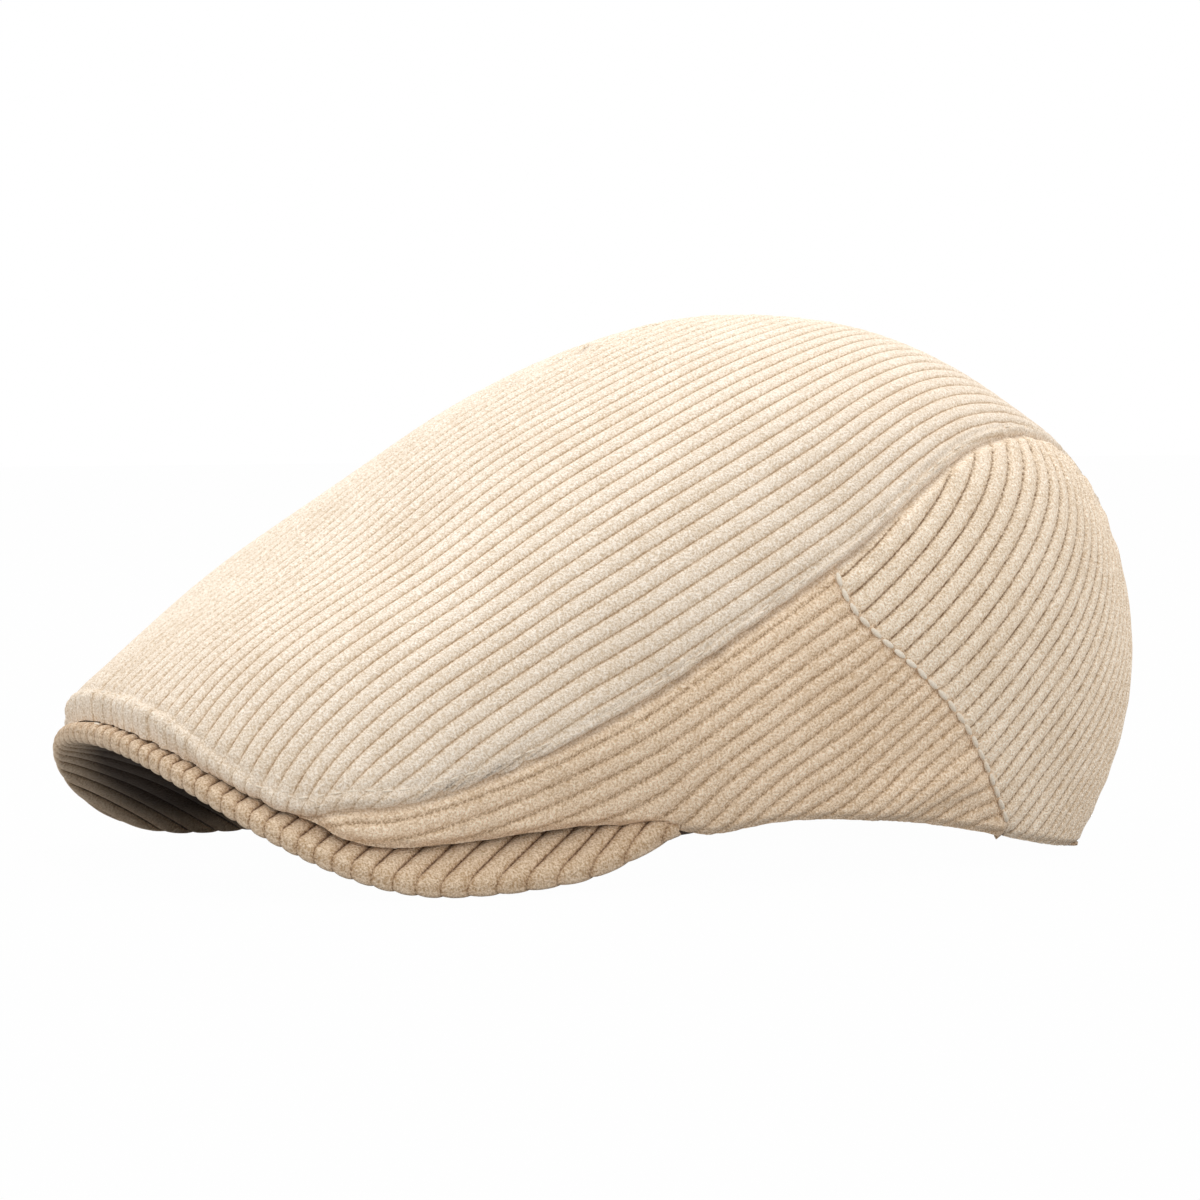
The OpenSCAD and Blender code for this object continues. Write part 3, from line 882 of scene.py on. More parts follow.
class Wardrobe:
    """All finishes of the cap, made once."""

    def __init__(self) -> None:
        """Make the materials from the shared effects."""
        effects = Effects()
        # One corduroy in five copies: the top panel's is the lightest, and the others carry painted
        # shade.
        self.corduroy = CorduroyFinish().make(effects)
        # Side panels: darker, warmer flanks and a dark groove colour, painted shade where less light
        # falls.
        self.side_corduroy = CorduroyFinish(
            name="corduroy_side", ridge=linear(248, 222, 192), flank=linear(231, 201, 167),
            groove=linear(112, 80, 52), speck=0.8,
        ).make(effects)
        # Back panels: darker flanks and grooves, painted shade where less light falls.
        self.back_corduroy = CorduroyFinish(
            name="corduroy_back", ridge=linear(252, 232, 207), flank=linear(238, 213, 183),
            groove=linear(134, 102, 72), speck=0.75,
        ).make(effects)
        # Visor's top: darker all over, painted shade, as the visor faces down under the crown's front.
        self.visor_corduroy = CorduroyFinish(
            name="visor_corduroy", ridge=linear(218, 192, 162), flank=linear(197, 166, 133),
            groove=linear(112, 82, 55), speck=1.0,
        ).make(effects)
        # Visor's underside: a near-black groove colour, which paints the shadow under the visor.
        self.under_corduroy_painted_shadow = CorduroyFinish(
            name="visor_under_corduroy", ridge=linear(226, 201, 172), flank=linear(206, 176, 144),
            groove=linear(60, 45, 32),
        ).make(effects)
        self.thread = MattedFinish(
            "thread", linear(255, 246, 230), linear(228, 208, 182), 2500.0, (0.7, 0.7),
            (0.5, 0.0002), 0.2,
        ).make(effects)
        self.satin = WovenFinish(
            "lining_satin", linear(196, 174, 148), linear(166, 143, 117), 900.0, 0.4, 0.38, 0.1, 0.00008,
        ).make(effects)
        self.twill = WovenFinish(
            "sweatband_twill", linear(98, 82, 66), linear(62, 50, 40), 900.0, 1.0, 0.75, 0.2, 0.00015,
        ).make(effects)
        self.felt = MattedFinish(
            "interlining_felt", linear(236, 234, 228), linear(212, 209, 202), 900.0, (0.9, 1.0),
            (0.4, 0.0002),
        ).make(effects)
        self.board = MattedFinish(
            "board", linear(214, 212, 206), linear(188, 186, 180), 500.0, (0.6, 0.7), (0.4, 0.0001),
        ).make(effects)


# ---------------------------------------------------------------- cloth meshes


@dataclass
class ClothGrid:
    """A grid of cloth points in mm, with what its finish needs to know at each."""

    points: Array
    ways: Array
    across: Array
    run: Array
    ridge: Array
    # How far the colour is darkened as painted shade, from 0 to 1.
    crease: Array


def plain_grid(points: Array, ways: Array, across: Array, run: Array) -> ClothGrid:
    """A grid of cloth without wales or painted shade, with ClothGrid's own values."""
    zero = np.zeros(points.shape[:2])
    return ClothGrid(points, ways, across, run, zero + 1, zero)


def new_piece(name: str, vertices: Array, faces: list[list[int]]) -> Piece:
    """Make a piece from its vertices and faces, and put it into the scene.

    Args:
        name: The piece's name.
        vertices: One row for each vertex, in metres.
        faces: The numbers of each face's vertices.

    Returns:
        The piece.
    """
    mesh = bpy.data.meshes.new(name)
    mesh.from_pydata(vertices.tolist(), [], faces)
    piece = bpy.data.objects.new(name, mesh)
    bpy.context.scene.collection.objects.link(piece)
    return piece


def make_sheet(name: str, grids: list[ClothGrid], thickness: float,
               closed: bool = False) -> Piece:
    """Make a closed sheet from grids that share edges.

    Args:
        name: The piece's name.
        grids: The grids.
        thickness: How far the sheet goes inwards from its points, in mm.
        closed: Whether the last column of each grid joins its first.

    Returns:
        The piece, with its place in its mesh.
    """
    quads, start = [], 0
    for grid in grids:
        columns, rows = grid.points.shape[:2]
        last = columns if closed else columns - 1
        i, j = np.meshgrid(np.arange(last), np.arange(rows - 1), indexing="ij")
        k = (i + 1) % columns
        part = np.stack([i * rows + j, k * rows + j, k * rows + j + 1, i * rows + j + 1], -1)
        part = part.reshape(-1, 4)
        flat = grid.points.reshape(-1, 3)
        turn = np.cross(flat[part[:, 2]] - flat[part[:, 0]], flat[part[:, 3]] - flat[part[:, 1]])
        outwards = (turn * grid.ways.reshape(-1, 3)[part[:, 0]]).sum()
        part = part[np.linalg.norm(turn, axis=1) > LEAST_AREA]
        quads.append((part if outwards > 0 else part[:, ::-1]) + start)
        start += columns * rows

    def gathered(key: str) -> Array:
        """One kind of value from all grids, one row for each point."""
        values = [getattr(grid, key) for grid in grids]
        return np.concatenate([v.reshape(g.points.shape[0] * g.points.shape[1], -1)
                               for v, g in zip(values, grids)])

    piece = new_piece(name, gathered("points") * MM, np.concatenate(quads).tolist())
    mesh = piece.data
    for key in ("ridge", "crease"):
        layer = mesh.attributes.new(key, "FLOAT", "POINT")
        layer.data.foreach_set("value", np.ascontiguousarray(gathered(key), np.float32).ravel())
    corner = np.empty(len(mesh.loops), np.int32)
    mesh.loops.foreach_get("vertex_index", corner)
    cloth = np.concatenate([gathered("run"), gathered("across")], 1)[corner] * MM
    mesh.uv_layers.new(name="cloth").data.foreach_set("uv", cloth.astype(np.float32).ravel())
    only(piece)
    bpy.ops.object.mode_set(mode="EDIT")
    bpy.ops.mesh.select_all(action="SELECT")
    bpy.ops.mesh.remove_doubles(threshold=MERGE)
    bpy.ops.object.mode_set(mode="OBJECT")
    wall = piece.modifiers.new("wall", "SOLIDIFY")
    wall.thickness = thickness * MM
    wall.offset = -1.0
    bpy.ops.object.modifier_apply(modifier=wall.name)
    bpy.ops.object.shade_smooth_by_angle(angle=math.radians(CREASE_ANGLE))
    return piece


def only(piece: Piece) -> None:
    """Deselect everything but one piece, and make it the active one."""
    bpy.ops.object.select_all(action="DESELECT")
    piece.select_set(True)
    bpy.context.view_layer.objects.active = piece


def settle(piece: Piece, shape: CapShape) -> None:
    """Keep a piece's own vertices on top of the visor and over the floor.

    Args:
        piece: The piece, in metres.
        shape: The cap's shape.
    """
    places = np.empty(len(piece.data.vertices) * 3, np.float32)
    piece.data.vertices.foreach_get("co", places)
    lifted = shape.over_visor(places.reshape(-1, 3).astype(float) / MM)
    lifted[:, 2] = np.maximum(lifted[:, 2], shape.clearance)
    piece.data.vertices.foreach_set("co", (lifted * MM).astype(np.float32).ravel())
    piece.data.update()


def dress(piece: Piece, material: bpy.types.Material, slot: str, *nodes: str) -> None:
    """Give a piece its finish and its body, and hide the CAD nodes that it replaces.

    Args:
        piece: The piece.
        material: Its material.
        slot: Not used.
        nodes: The CAD nodes that it replaces.
    """
    piece.data.materials.clear()
    piece.data.materials.append(material)
    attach(piece, "root")
    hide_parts(*nodes)
    LOG.info("%s: %d faces", piece.name, len(piece.data.polygons))


@dataclass(frozen=True)
class Wales:
    """The raised cords of the corduroy, in mm."""

    pitch: float = 4.1
    height: float = 0.8
    squareness: float = 3.0
    samples: int = 8

    @property
    def step(self) -> float:
        """Distance between two columns of a grid that follows the wales."""
        return self.pitch / self.samples

    def profile(self, turns: Array) -> Array:
        """Share of the full height at a count of wales, with grooves at whole numbers."""
        x = np.abs((turns % 1.0) * 2 - 1)
        return 1 - x**self.squareness


# ---------------------------------------------------------------- crown


@dataclass
class EdgeField:
    """An edge of a panel, and where the panel's places are from it.

    d is the distance from the edge and run the distance along it, in mm. Below 0, d is tucked
    under. width is how far in from the edge its row of stitches lies.
    """

    kind: Edge
    d: Array
    run: Array
    width: Array | float = 6.0


@dataclass
class Crown:
    """The five corduroy panels of the crown and the felt under them."""

    shape: CapShape
    wales: Wales = field(default_factory=Wales)
    top_height: float = 0.75
    rim_front: float = 4.4
    rim_side: float = 2.6
    rim_puff: float = 0.25
    stitch_depth: float = 0.5
    stitch_width: float = 0.8
    tuck: float = 2.6
    tuck_depth: float = 1.5
    seam_depth: float = 0.55
    seam_lap: float = 0.02
    pucker: float = 0.35
    pucker_length: float = 9.0
    pucker_reach: float = 7.0
    lump: float = 0.2
    lump_length: float = 3.4
    # Painted shade that deepens towards the top panel's sewn edge, where its surface turns from the
    # light.
    flank_shade: float = 0.16
    flank_reach: float = 50.0
    rim_roll: float = 2.0
    hem_roll: float = 1.3
    edge_reach: float = 2.6
    sag: float = 0.6
    rib_slant: float = 0.857
    drift: float = 0.85
    dart_end: float = 6.0
    grain_reach: float = 128.0
    grain_step: float = 0.5
    column_samples: int = 181
    top_rows: tuple = (
        (0.0, 0.4, 12), (0.4, 2.0, 39), (2.0, 3.0, 11), (3.0, 6.2, 47), (6.2, 8.8, 19), (8.8, 9.0, 7),
    )
    back_grid: tuple[int, int] = (236, 205)
    back_radius: float = 92.0
    back_climb: float = 0.593
    back_fall: float = 0.707
    back_bend: tuple[float, float] = (40.0, 0.0045)
    tail_bend: tuple[float, float] = (72.0, 0.02)
    nose_reach: float = 2.4
    fold_start: tuple[float, float] = (30.0, 12.0)
    fold_slope: float = 0.22
    fold_swell: float = 1.3
    fold_sink: float = 0.6
    drop: float = 3.2
    drop_place: float = -12.0
    felt_ends: tuple[float, float] = (0.6, 5.4)
    felt_grid: tuple[int, int] = (60, 41)
    felt_setback: float = 10.0
    felt_depth: float = 0.9
    felt_share: float = 0.7

    def edge_lift(self, edge: EdgeField, seed: int) -> tuple[Array, Array, Array]:
        """How an edge shapes the cloth beside it.

        Args:
            edge: The edge, and where the cloth's places are from it.
            seed: Picks the puckers.

        Returns:
            The lift of the cloth in mm, the share of the wales' height that is left, and the painted
            shade.
        """
        d = edge.d
        wave = ripple(edge.run[..., None], self.pucker_length, seed)
        pucker = self.pucker * wave * np.exp(-np.maximum(d, 0) / self.pucker_reach)
        if edge.kind is Edge.TOPSTITCHED:
            line = edge.width * (1 + 0.07 * ripple(edge.run[..., None], 26.0, seed + 1))
            puff = self.rim_puff * np.sin(np.pi * np.clip(d / line, 0, 1)) ** 0.8
            groove = self.stitch_depth * bell((d - line) / self.stitch_width)
            roll = self.rim_roll * (1 - np.clip(d / self.rim_roll, 0, 1)) ** 2
            left = 0.75 - 0.35 * bell((d - line) / 0.9) + 0.25 * smooth((d - line) / 1.3)
            # Painted shade: dark in the stitch groove and at the rolled edge, deeper towards the flanks.
            shade = 0.2 * bell((d - line) / 0.4) + 0.22 * bell(d / 0.6)
            shade = np.maximum(shade, self.flank_shade * (1 - smooth(d / self.flank_reach)))
            lumps = self.lump * ripple(edge.run[..., None], self.lump_length, seed + 2)
            lumps = lumps * bell((d - line / 2) / line)
            return puff - groove - roll + lumps + 1.5 * pucker, left, shade
        if edge.kind is Edge.TUCKED:
            sink = self.tuck_depth * (1 - smooth(d / self.edge_reach))
            left = 0.25 + 0.75 * smooth((d - 0.2) / 2.0)
            # Painted shade where the panel tucks under the top panel.
            return pucker * (d > 0) - sink, left, 0.38 * bell(np.maximum(d, 0) / 0.8)
        if edge.kind is Edge.SEAM:
            sink = self.seam_depth * (1 - smooth(d / 2.2))
            # Painted shade in the seam.
            return pucker - sink, 0.45 + 0.55 * smooth(d / 1.8), 0.25 * bell(d / 0.5)
        roll = self.hem_roll * (1 - smooth(d / self.edge_reach))
        # Painted shade along the hem.
        return 0.5 * pucker - roll, 0.5 + 0.5 * smooth(d / 2.5), 0.15 * bell(d / 1.5)

    def finish_grid(self, points: Array, ways: Array, turns: Array, run: Array,
                    edges: list[EdgeField], seed: int, extra: Array | float = 0.0,
                    tall: float = 1.0) -> ClothGrid:
        """Raise the wales on a panel and shape it along its edges.

        Args:
            points: The panel's places on the CAD's outer face, in mm.
            ways: The outward directions there.
            turns: The count of wales at each place.
            run: The distance along the wales, in mm.
            edges: The panel's edges.
            seed: Picks the unevenness.
            extra: The panel's own folds, as a lift in mm.
            tall: Height of its wales, as a share of the usual.

        Returns:
            The grid of the panel.
        """
        lift = np.zeros(turns.shape) + extra
        left = np.ones(turns.shape)
        shade = np.zeros(turns.shape)
        inner = np.ones(turns.shape)
        for number, edge in enumerate(edges):
            raised, share, dark = self.edge_lift(edge, seed + 10 * number)
            lift = lift + raised
            left = np.minimum(left, share)
            shade = np.maximum(shade, dark)
            inner = np.minimum(inner, smooth(edge.d / 18))
        lift += self.sag * inner * (ripple(points, 70.0, seed + 3) - 0.6)
        tall = tall * (1 + 0.10 * ripple(points, 22.0, seed + 4))
        ridge = self.wales.profile(turns)
        height = self.wales.height * left * tall * (ridge - 1)
        raised = points + ways * (lift + height)[..., None]
        share = 1 - (0.35 + 0.65 * left) * (1 - ridge)
        return ClothGrid(raised, ways, turns * self.wales.pitch, run, share, np.clip(shade, 0, 1))

    def columns(self, first: Array, last: Array, place: Callable[[Array], Array], ends: int,
                middle: int, step: float) -> tuple[Array, Array]:
        """Stations of the rows of columns that run along wales.

        Args:
            first: Station where each column starts.
            last: Station where each column ends.
            place: Gives points for stations, one row of stations for each column.
            ends: How many rows lie close together at each end.
            middle: How many rows lie between them.
            step: Distance between close rows, in mm.

        Returns:
            The stations, and the distances along the columns: columns, then rows.
        """
        share = np.linspace(0, 1, self.column_samples)
        stations = first[:, None] + (last - first)[:, None] * share
        runs = run_along(place(stations))
        rows = row_places(runs[:, -1], ends, middle, step)
        found = np.stack([np.interp(r, a, b) for r, a, b in zip(rows, runs, stations)])
        return found, rows

    def rim_at(self, u: Array) -> Array:
        """How far in from the top panel's edge its stitches lie at stations u, in mm."""
        return self.rim_front + (self.rim_side - self.rim_front) * smooth((u - 1.6) / 1.1)

    def grain(self, stations: Array, half: Array, peak: int) -> tuple[Array, Array, Array]:
        """Distances across the wales on the left half of the top panel.

        In front of the widest station the wales are straight and even on the cloth. Behind it they
        run on with the panel's edge, and end on the middle line in a dart.

        Args:
            stations: Stations from front to back.
            half: The panel's half width there.
            peak: Number of the widest station.

        Returns:
            Distances from the middle line, the distances across the wales (stations by those), and
            the latter on the middle line.
        """
        q = np.arange(0, self.grain_reach, self.grain_step)
        points = self.shape.crown(np.broadcast_to(stations[:, None], (len(stations), len(q))), q)[0]
        along_u = np.gradient(points, stations, axis=0)
        along_q = np.gradient(points, q, axis=1)
        e = np.maximum((along_u * along_u).sum(-1), 1.0)
        f = np.maximum((along_u * along_q).sum(-1), -0.6 * np.sqrt(e))
        kernel = np.hanning(13) / np.hanning(13).sum()
        across = np.zeros(e.shape)
        for k in range(1, len(q)):
            slope = np.gradient(across[:, k - 1], stations)
            slope = np.convolve(np.pad(slope, 6, mode="edge"), kernel, mode="valid")
            wide, skew = e[:, k - 1], f[:, k - 1]
            free = wide - np.minimum(slope**2, 0.9 * wide)
            root = np.sqrt(np.maximum((wide - skew * skew) * free, 0))
            rate = np.clip((skew * slope + root) / wide, 0.45, 1.5)
            across[:, k] = across[:, k - 1] + rate * (q[k] - q[k - 1])
        taken = np.maximum.accumulate(self.drift * (half[peak] - half[peak:]))
        taken = np.minimum(taken, np.interp(self.dart_end, stations[peak:], taken))
        narrow = np.minimum.accumulate(half[peak:]) / half[peak:]
        for k, share in enumerate(narrow):
            across[peak + k] = np.interp(q * share, q, across[peak]) + taken[k]
        return q, across, across[:, 0].copy()

    def top_columns(self, stations: Array, half: Array) -> tuple[Array, Array, Array, Array]:
        """Where the columns on the left half of the top panel run.

        Args:
            stations: Stations from front to back.
            half: The panel's half width there.

        Returns:
            The columns' distances across the wales, the stations where they start and where they
            end, and their distances from the middle line at all stations.
        """
        peak = int(half.argmax())
        q, level, dart_level = self.grain(stations, half, peak)
        sewn = np.array([np.interp(h, q, row) for h, row in zip(half, level)])
        top = int(sewn.argmax())
        steps = np.arange(0, sewn[top] - 0.15, self.wales.step)
        wanted = np.sort(np.append(steps, dart_level.max()))
        first = np.zeros(len(wanted))
        last = np.full(len(wanted), stations[-1])
        for k, value in enumerate(wanted):
            before = np.flatnonzero(sewn[:top] < value)
            behind = np.flatnonzero((sewn[top:] < value) | (dart_level[top:] > value + 1e-6)) + top
            if len(before):
                first[k] = self.crossing(stations, sewn - value, before[-1])
            if len(behind):
                past = behind[0] - 1
                line = dart_level if dart_level[past + 1] > value else sewn
                last[k] = self.crossing(stations, line - value, past)
        paths = [np.minimum([np.interp(value, row, q) for row in level], half) for value in wanted]
        return wanted, first, last, np.array(paths)

    def top_panel(self) -> Piece:
        """The long top panel, whose wales run back with its edges and meet in a dart behind.

        Returns:
            The piece.
        """
        s = self.shape
        stations = np.linspace(0, s.last_station, 721)
        half = s.top_half(stations)
        peak = int(half.argmax())
        wanted, first, last, paths = self.top_columns(stations, half)
        order = np.concatenate([np.arange(len(wanted))[::-1], np.arange(len(wanted))])
        sign = np.where(np.arange(len(order)) < len(wanted), -1.0, 1.0)[:, None]
        rows = [np.linspace(start, end, count + 1)[:-1] for start, end, count in self.top_rows]
        rows = np.append(np.concatenate(rows), float(s.last_station))
        u = np.clip(rows, first[order][:, None], last[order][:, None])
        away = np.stack([np.interp(row, stations, paths[k]) for row, k in zip(u, order)]) * sign
        points, ways = s.crown(u, away)
        run = run_along(points)
        edge = self.top_edge(stations, half)
        dart = s.crown(stations[peak:], 0 * stations[peak:])[0]
        d, edge_run = nearest(points, edge)
        d_dart, dart_run = nearest(points, dart)
        wander = 0.5 * ripple(np.stack([away, u * 30], -1), 60.0, 5)
        wander *= smooth(d / 14) * smooth(d_dart / 10)
        points, ways = s.crown(u, away + wander)
        hem = s.crown(np.full(81, float(s.last_station)), np.linspace(-half[-1], half[-1], 81))[0]
        d_hem, hem_run = nearest(points, hem)
        turns = np.broadcast_to((wanted[order] / self.wales.pitch)[:, None] * sign, u.shape)
        grid = self.finish_grid(points, ways, turns, run, [
            EdgeField(Edge.TOPSTITCHED, d, edge_run, self.rim_at(u)),
            EdgeField(Edge.HEM, d_hem, hem_run), EdgeField(Edge.SEAM, d_dart, dart_run)],
            100, tall=self.top_height)
        grid.points[..., 2] -= self.nose(grid.points, d, u)
        piece = make_sheet("top_panel_corduroy", [grid], s.cloth)
        settle(piece, s)
        return piece

    def crossing(self, stations: Array, values: Array, index: int) -> float:
        """The station after one of them where values pass 0.

        Args:
            stations: The stations.
            values: A value at each.
            index: The last station before the crossing.

        Returns:
            The station of the crossing.
        """
        a, b = values[index], values[index + 1]
        share = a / (a - b) if a * b < 0 else 0.0
        return float(stations[index] + (stations[index + 1] - stations[index]) * share)

    def nose(self, points: Array, d: Array, u: Array) -> Array:
        """How far the front edge rolls down onto the visor.

        Args:
            points: The panel's points, in mm.
            d: Their distance from the edge, in mm.
            u: Their stations.

        Returns:
            The drop in mm.
        """
        s = self.shape
        rest = s.visor_z(points[..., 0], points[..., 1]) + s.visor_mid + s.gap
        over = np.maximum(points[..., 2] - rest, 0) * (1 - smooth((u - 0.5) / 0.6))
        share = np.clip(1 - d / self.nose_reach, 0, 1)
        return over * (1 - np.sqrt(1 - share**2))

    def top_edge(self, stations: Array, half: Array) -> Array:
        """The sewn edge of the top panel, from the tail's right corner round the front to its left.

        Args:
            stations: Stations from front to back.
            half: The panel's half width there.

        Returns:
            Points in mm.
        """
        s = self.shape
        right = s.crown(stations[::-1], -half[::-1])[0]
        front = s.crown(np.zeros(121), np.linspace(-half[0], half[0], 121))[0]
        left = s.crown(stations, half)[0]
        return np.concatenate([right, front[1:-1], left])

    def lower_edges(self, points: Array, tucked: Array, upper: Array, lower: Array,
                    seam: Array) -> list[EdgeField]:
        """Where a side or back panel's places are from its three edges.

        Args:
            points: The panel's places, in mm.
            tucked: Whether each place is under the top panel.
            upper: The edge that is sewn to the top panel.
            lower: The hem.
            seam: The seam between side and back panel.

        Returns:
            The edges in that order.
        """
        d, run = nearest(points, upper)
        return [
            EdgeField(Edge.TUCKED, np.where(tucked, -d, d), run),
            EdgeField(Edge.HEM, *nearest(points, lower)),
            EdgeField(Edge.SEAM, *nearest(points, seam)),
        ]

    def side_panel(self, side: Side) -> Piece:
        """A side panel, whose wales follow the top seam.

        Args:
            side: The wearer's side.

        Returns:
            The piece.
        """
        s = self.shape
        sign = side.value
        stations = np.linspace(s.side_start, s.seam_foot + self.seam_lap, 1201)
        top = s.top_half(stations)
        room = s.rib_length(stations) - top
        step = self.wales.step / self.rib_slant
        below = np.arange(-self.tuck, room.max() - 0.4, step)
        spans = []
        for d in below:
            share = np.clip(d / np.maximum(room, 1e-9), 0, 1)
            good = (room >= d) & (stations <= s.back_seam(share) + self.seam_lap)
            found = stations[good]
            spans.append((found[0], found[-1]) if good.sum() > 4 else (np.nan, np.nan))
        first, last = np.array(spans).T
        kept = ~np.isnan(first)
        first, last, below = first[kept], last[kept], below[kept]
        wide = below[:, None]

        def place(v: Array) -> Array:
            """Points of the panel at stations v, one row for each column."""
            return s.crown(v, s.top_half(v) + wide)[0]

        u, run = self.columns(first, last, place, 10, 40, 0.9)
        points, ways = s.crown(u, s.top_half(u) + wide)
        upper = s.crown(stations, top)[0]
        lower = s.crown(stations, top + room)[0]
        seam = s.crown(*s.seam_line(np.linspace(0, 1, 161)))[0]
        edges = self.lower_edges(points, wide < 0, upper, lower, seam)
        hem, back = edges[1:]
        turns = np.broadcast_to(wide * self.rib_slant / self.wales.pitch + 0.35, u.shape)
        mirror = np.array([sign, 1.0, 1.0])
        grid = self.finish_grid(points * mirror, ways * mirror, turns, run, edges,
                                200 + 50 * sign, self.hem_fold(points) * smooth(back.d / 7))
        grid.points[..., 2] -= self.hem_drop(points, hem.d)
        piece = make_sheet(f"{side.name.lower()}_side_corduroy", [grid], s.cloth)
        settle(piece, s)
        return piece

    def hem_fold(self, points: Array) -> Array:
        """The soft fold where a side panel buckles over its hem, in front of the back seam.

        Args:
            points: Places on the left side panel, in mm.

        Returns:
            The lift of the cloth in mm.
        """
        y, z = points[..., 1], points[..., 2]
        line = self.fold_start[1] + (y - self.fold_start[0]) * self.fold_slope
        below = line - z
        there = smooth((y - self.fold_start[0] + 6) / 16)
        swell = self.fold_swell * bell((below + 4.0) / 5.0)
        sink = self.fold_sink * smooth((below + 0.6) / 2.4)
        return there * (swell - sink)

    def hem_drop(self, points: Array, d: Array) -> Array:
        """How far the side panel's hem comes down beside the visor's end, to cover the sweatband.

        Args:
            points: Places on the left side panel, in mm.
            d: Their distance from the hem, in mm.

        Returns:
            The drop in mm.
        """
        return self.drop * bell((points[..., 1] - self.drop_place) / 17.0) * (1 - smooth(d / 14))

    def back_turns(self, points: Array) -> Array:
        """The count of wales on a back panel, which climb slantwise towards the tail.

        Args:
            points: Places on the left back panel, in mm.

        Returns:
            The count at each place.
        """
        angle = np.arctan2(points[..., 1] - self.shape.hem_mid_y, points[..., 0])
        around = self.back_radius * angle
        start, bend = self.back_bend
        level = self.back_climb * around + bend * np.square(around - start) / 2
        level -= self.back_fall * points[..., 2]
        start, bend = self.tail_bend
        level += bend * np.square(np.maximum(around - start, 0)) / 2
        return level / self.wales.pitch

    def back_panel(self, side: Side) -> Piece:
        """A back panel, whose wales climb slantwise from the hem to the top panel.

        Args:
            side: The wearer's side.

        Returns:
            The piece.
        """
        s = self.shape
        sign = side.value
        columns, rows = self.back_grid
        share = np.linspace(0, 1, rows)
        t = np.linspace(0, 1, columns)[:, None]
        start = s.back_seam(share) - self.seam_lap
        u = start + (s.last_station - start) * t
        top = s.top_half(u)
        whole = s.rib_length(u)
        q = top - self.tuck + (whole - top + self.tuck) * share
        points, ways = s.crown(u, q)
        stations = np.linspace(s.seam_top, s.last_station, 601)
        half, length = s.top_half(stations), s.rib_length(stations)
        upper = s.crown(stations, half)[0]
        behind = stations >= s.seam_foot
        side_hem = s.crown(stations[behind], length[behind])[0]
        end = np.linspace(length[-1], half[-1], 81)
        tail_hem = s.crown(np.full(81, float(s.last_station)), end)[0]
        lower = np.concatenate([side_hem, tail_hem[1:]])
        seam = s.crown(*s.seam_line(share))[0]
        edges = self.lower_edges(points, q < top, upper, lower, seam)
        turns = self.back_turns(points)
        run = points[..., 2] + 0 * turns
        mirror = np.array([sign, 1.0, 1.0])
        grid = self.finish_grid(points * mirror, ways * mirror, turns, run, edges, 400 + 50 * sign)
        piece = make_sheet(f"{side.name.lower()}_back_corduroy", [grid], s.cloth)
        settle(piece, s)
        return piece

    def interlining(self) -> Piece:
        """The stiffening felt under the top panel.

        Returns:
            The piece.
        """
        s = self.shape
        columns, rows = self.felt_grid
        u = np.broadcast_to(np.linspace(*self.felt_ends, columns)[:, None], self.felt_grid)
        q = (s.top_half(u) - self.felt_setback) * np.linspace(-1, 1, rows)
        points, ways = s.crown(u, q)
        depth = s.cloth + self.felt_depth + 0.3 * ripple(points, 50.0, 9)[..., None]
        points = points - ways * depth
        grid = plain_grid(points, ways, q, u * 30)
        piece = make_sheet("crown_interlining_felt", [grid], s.felt * self.felt_share)
        settle(piece, s)
        return piece

    def build(self, wardrobe: Wardrobe) -> None:
        """Build and dress the crown.

        Args:
            wardrobe: The cap's finishes.
        """
        top = self.top_panel()
        dress(top, wardrobe.corduroy, "corduroy", "top_panel")
        for side in Side:
            name = side.name.lower()
            panel = self.side_panel(side)
            dress(panel, wardrobe.side_corduroy, "corduroy", f"{name}_side_panel")
            panel = self.back_panel(side)
            dress(panel, wardrobe.back_corduroy, "corduroy", f"{name}_back_panel")
        felt = self.interlining()
        dress(felt, wardrobe.felt, "interlining_felt", "crown_interlining")


# ---------------------------------------------------------------- visor


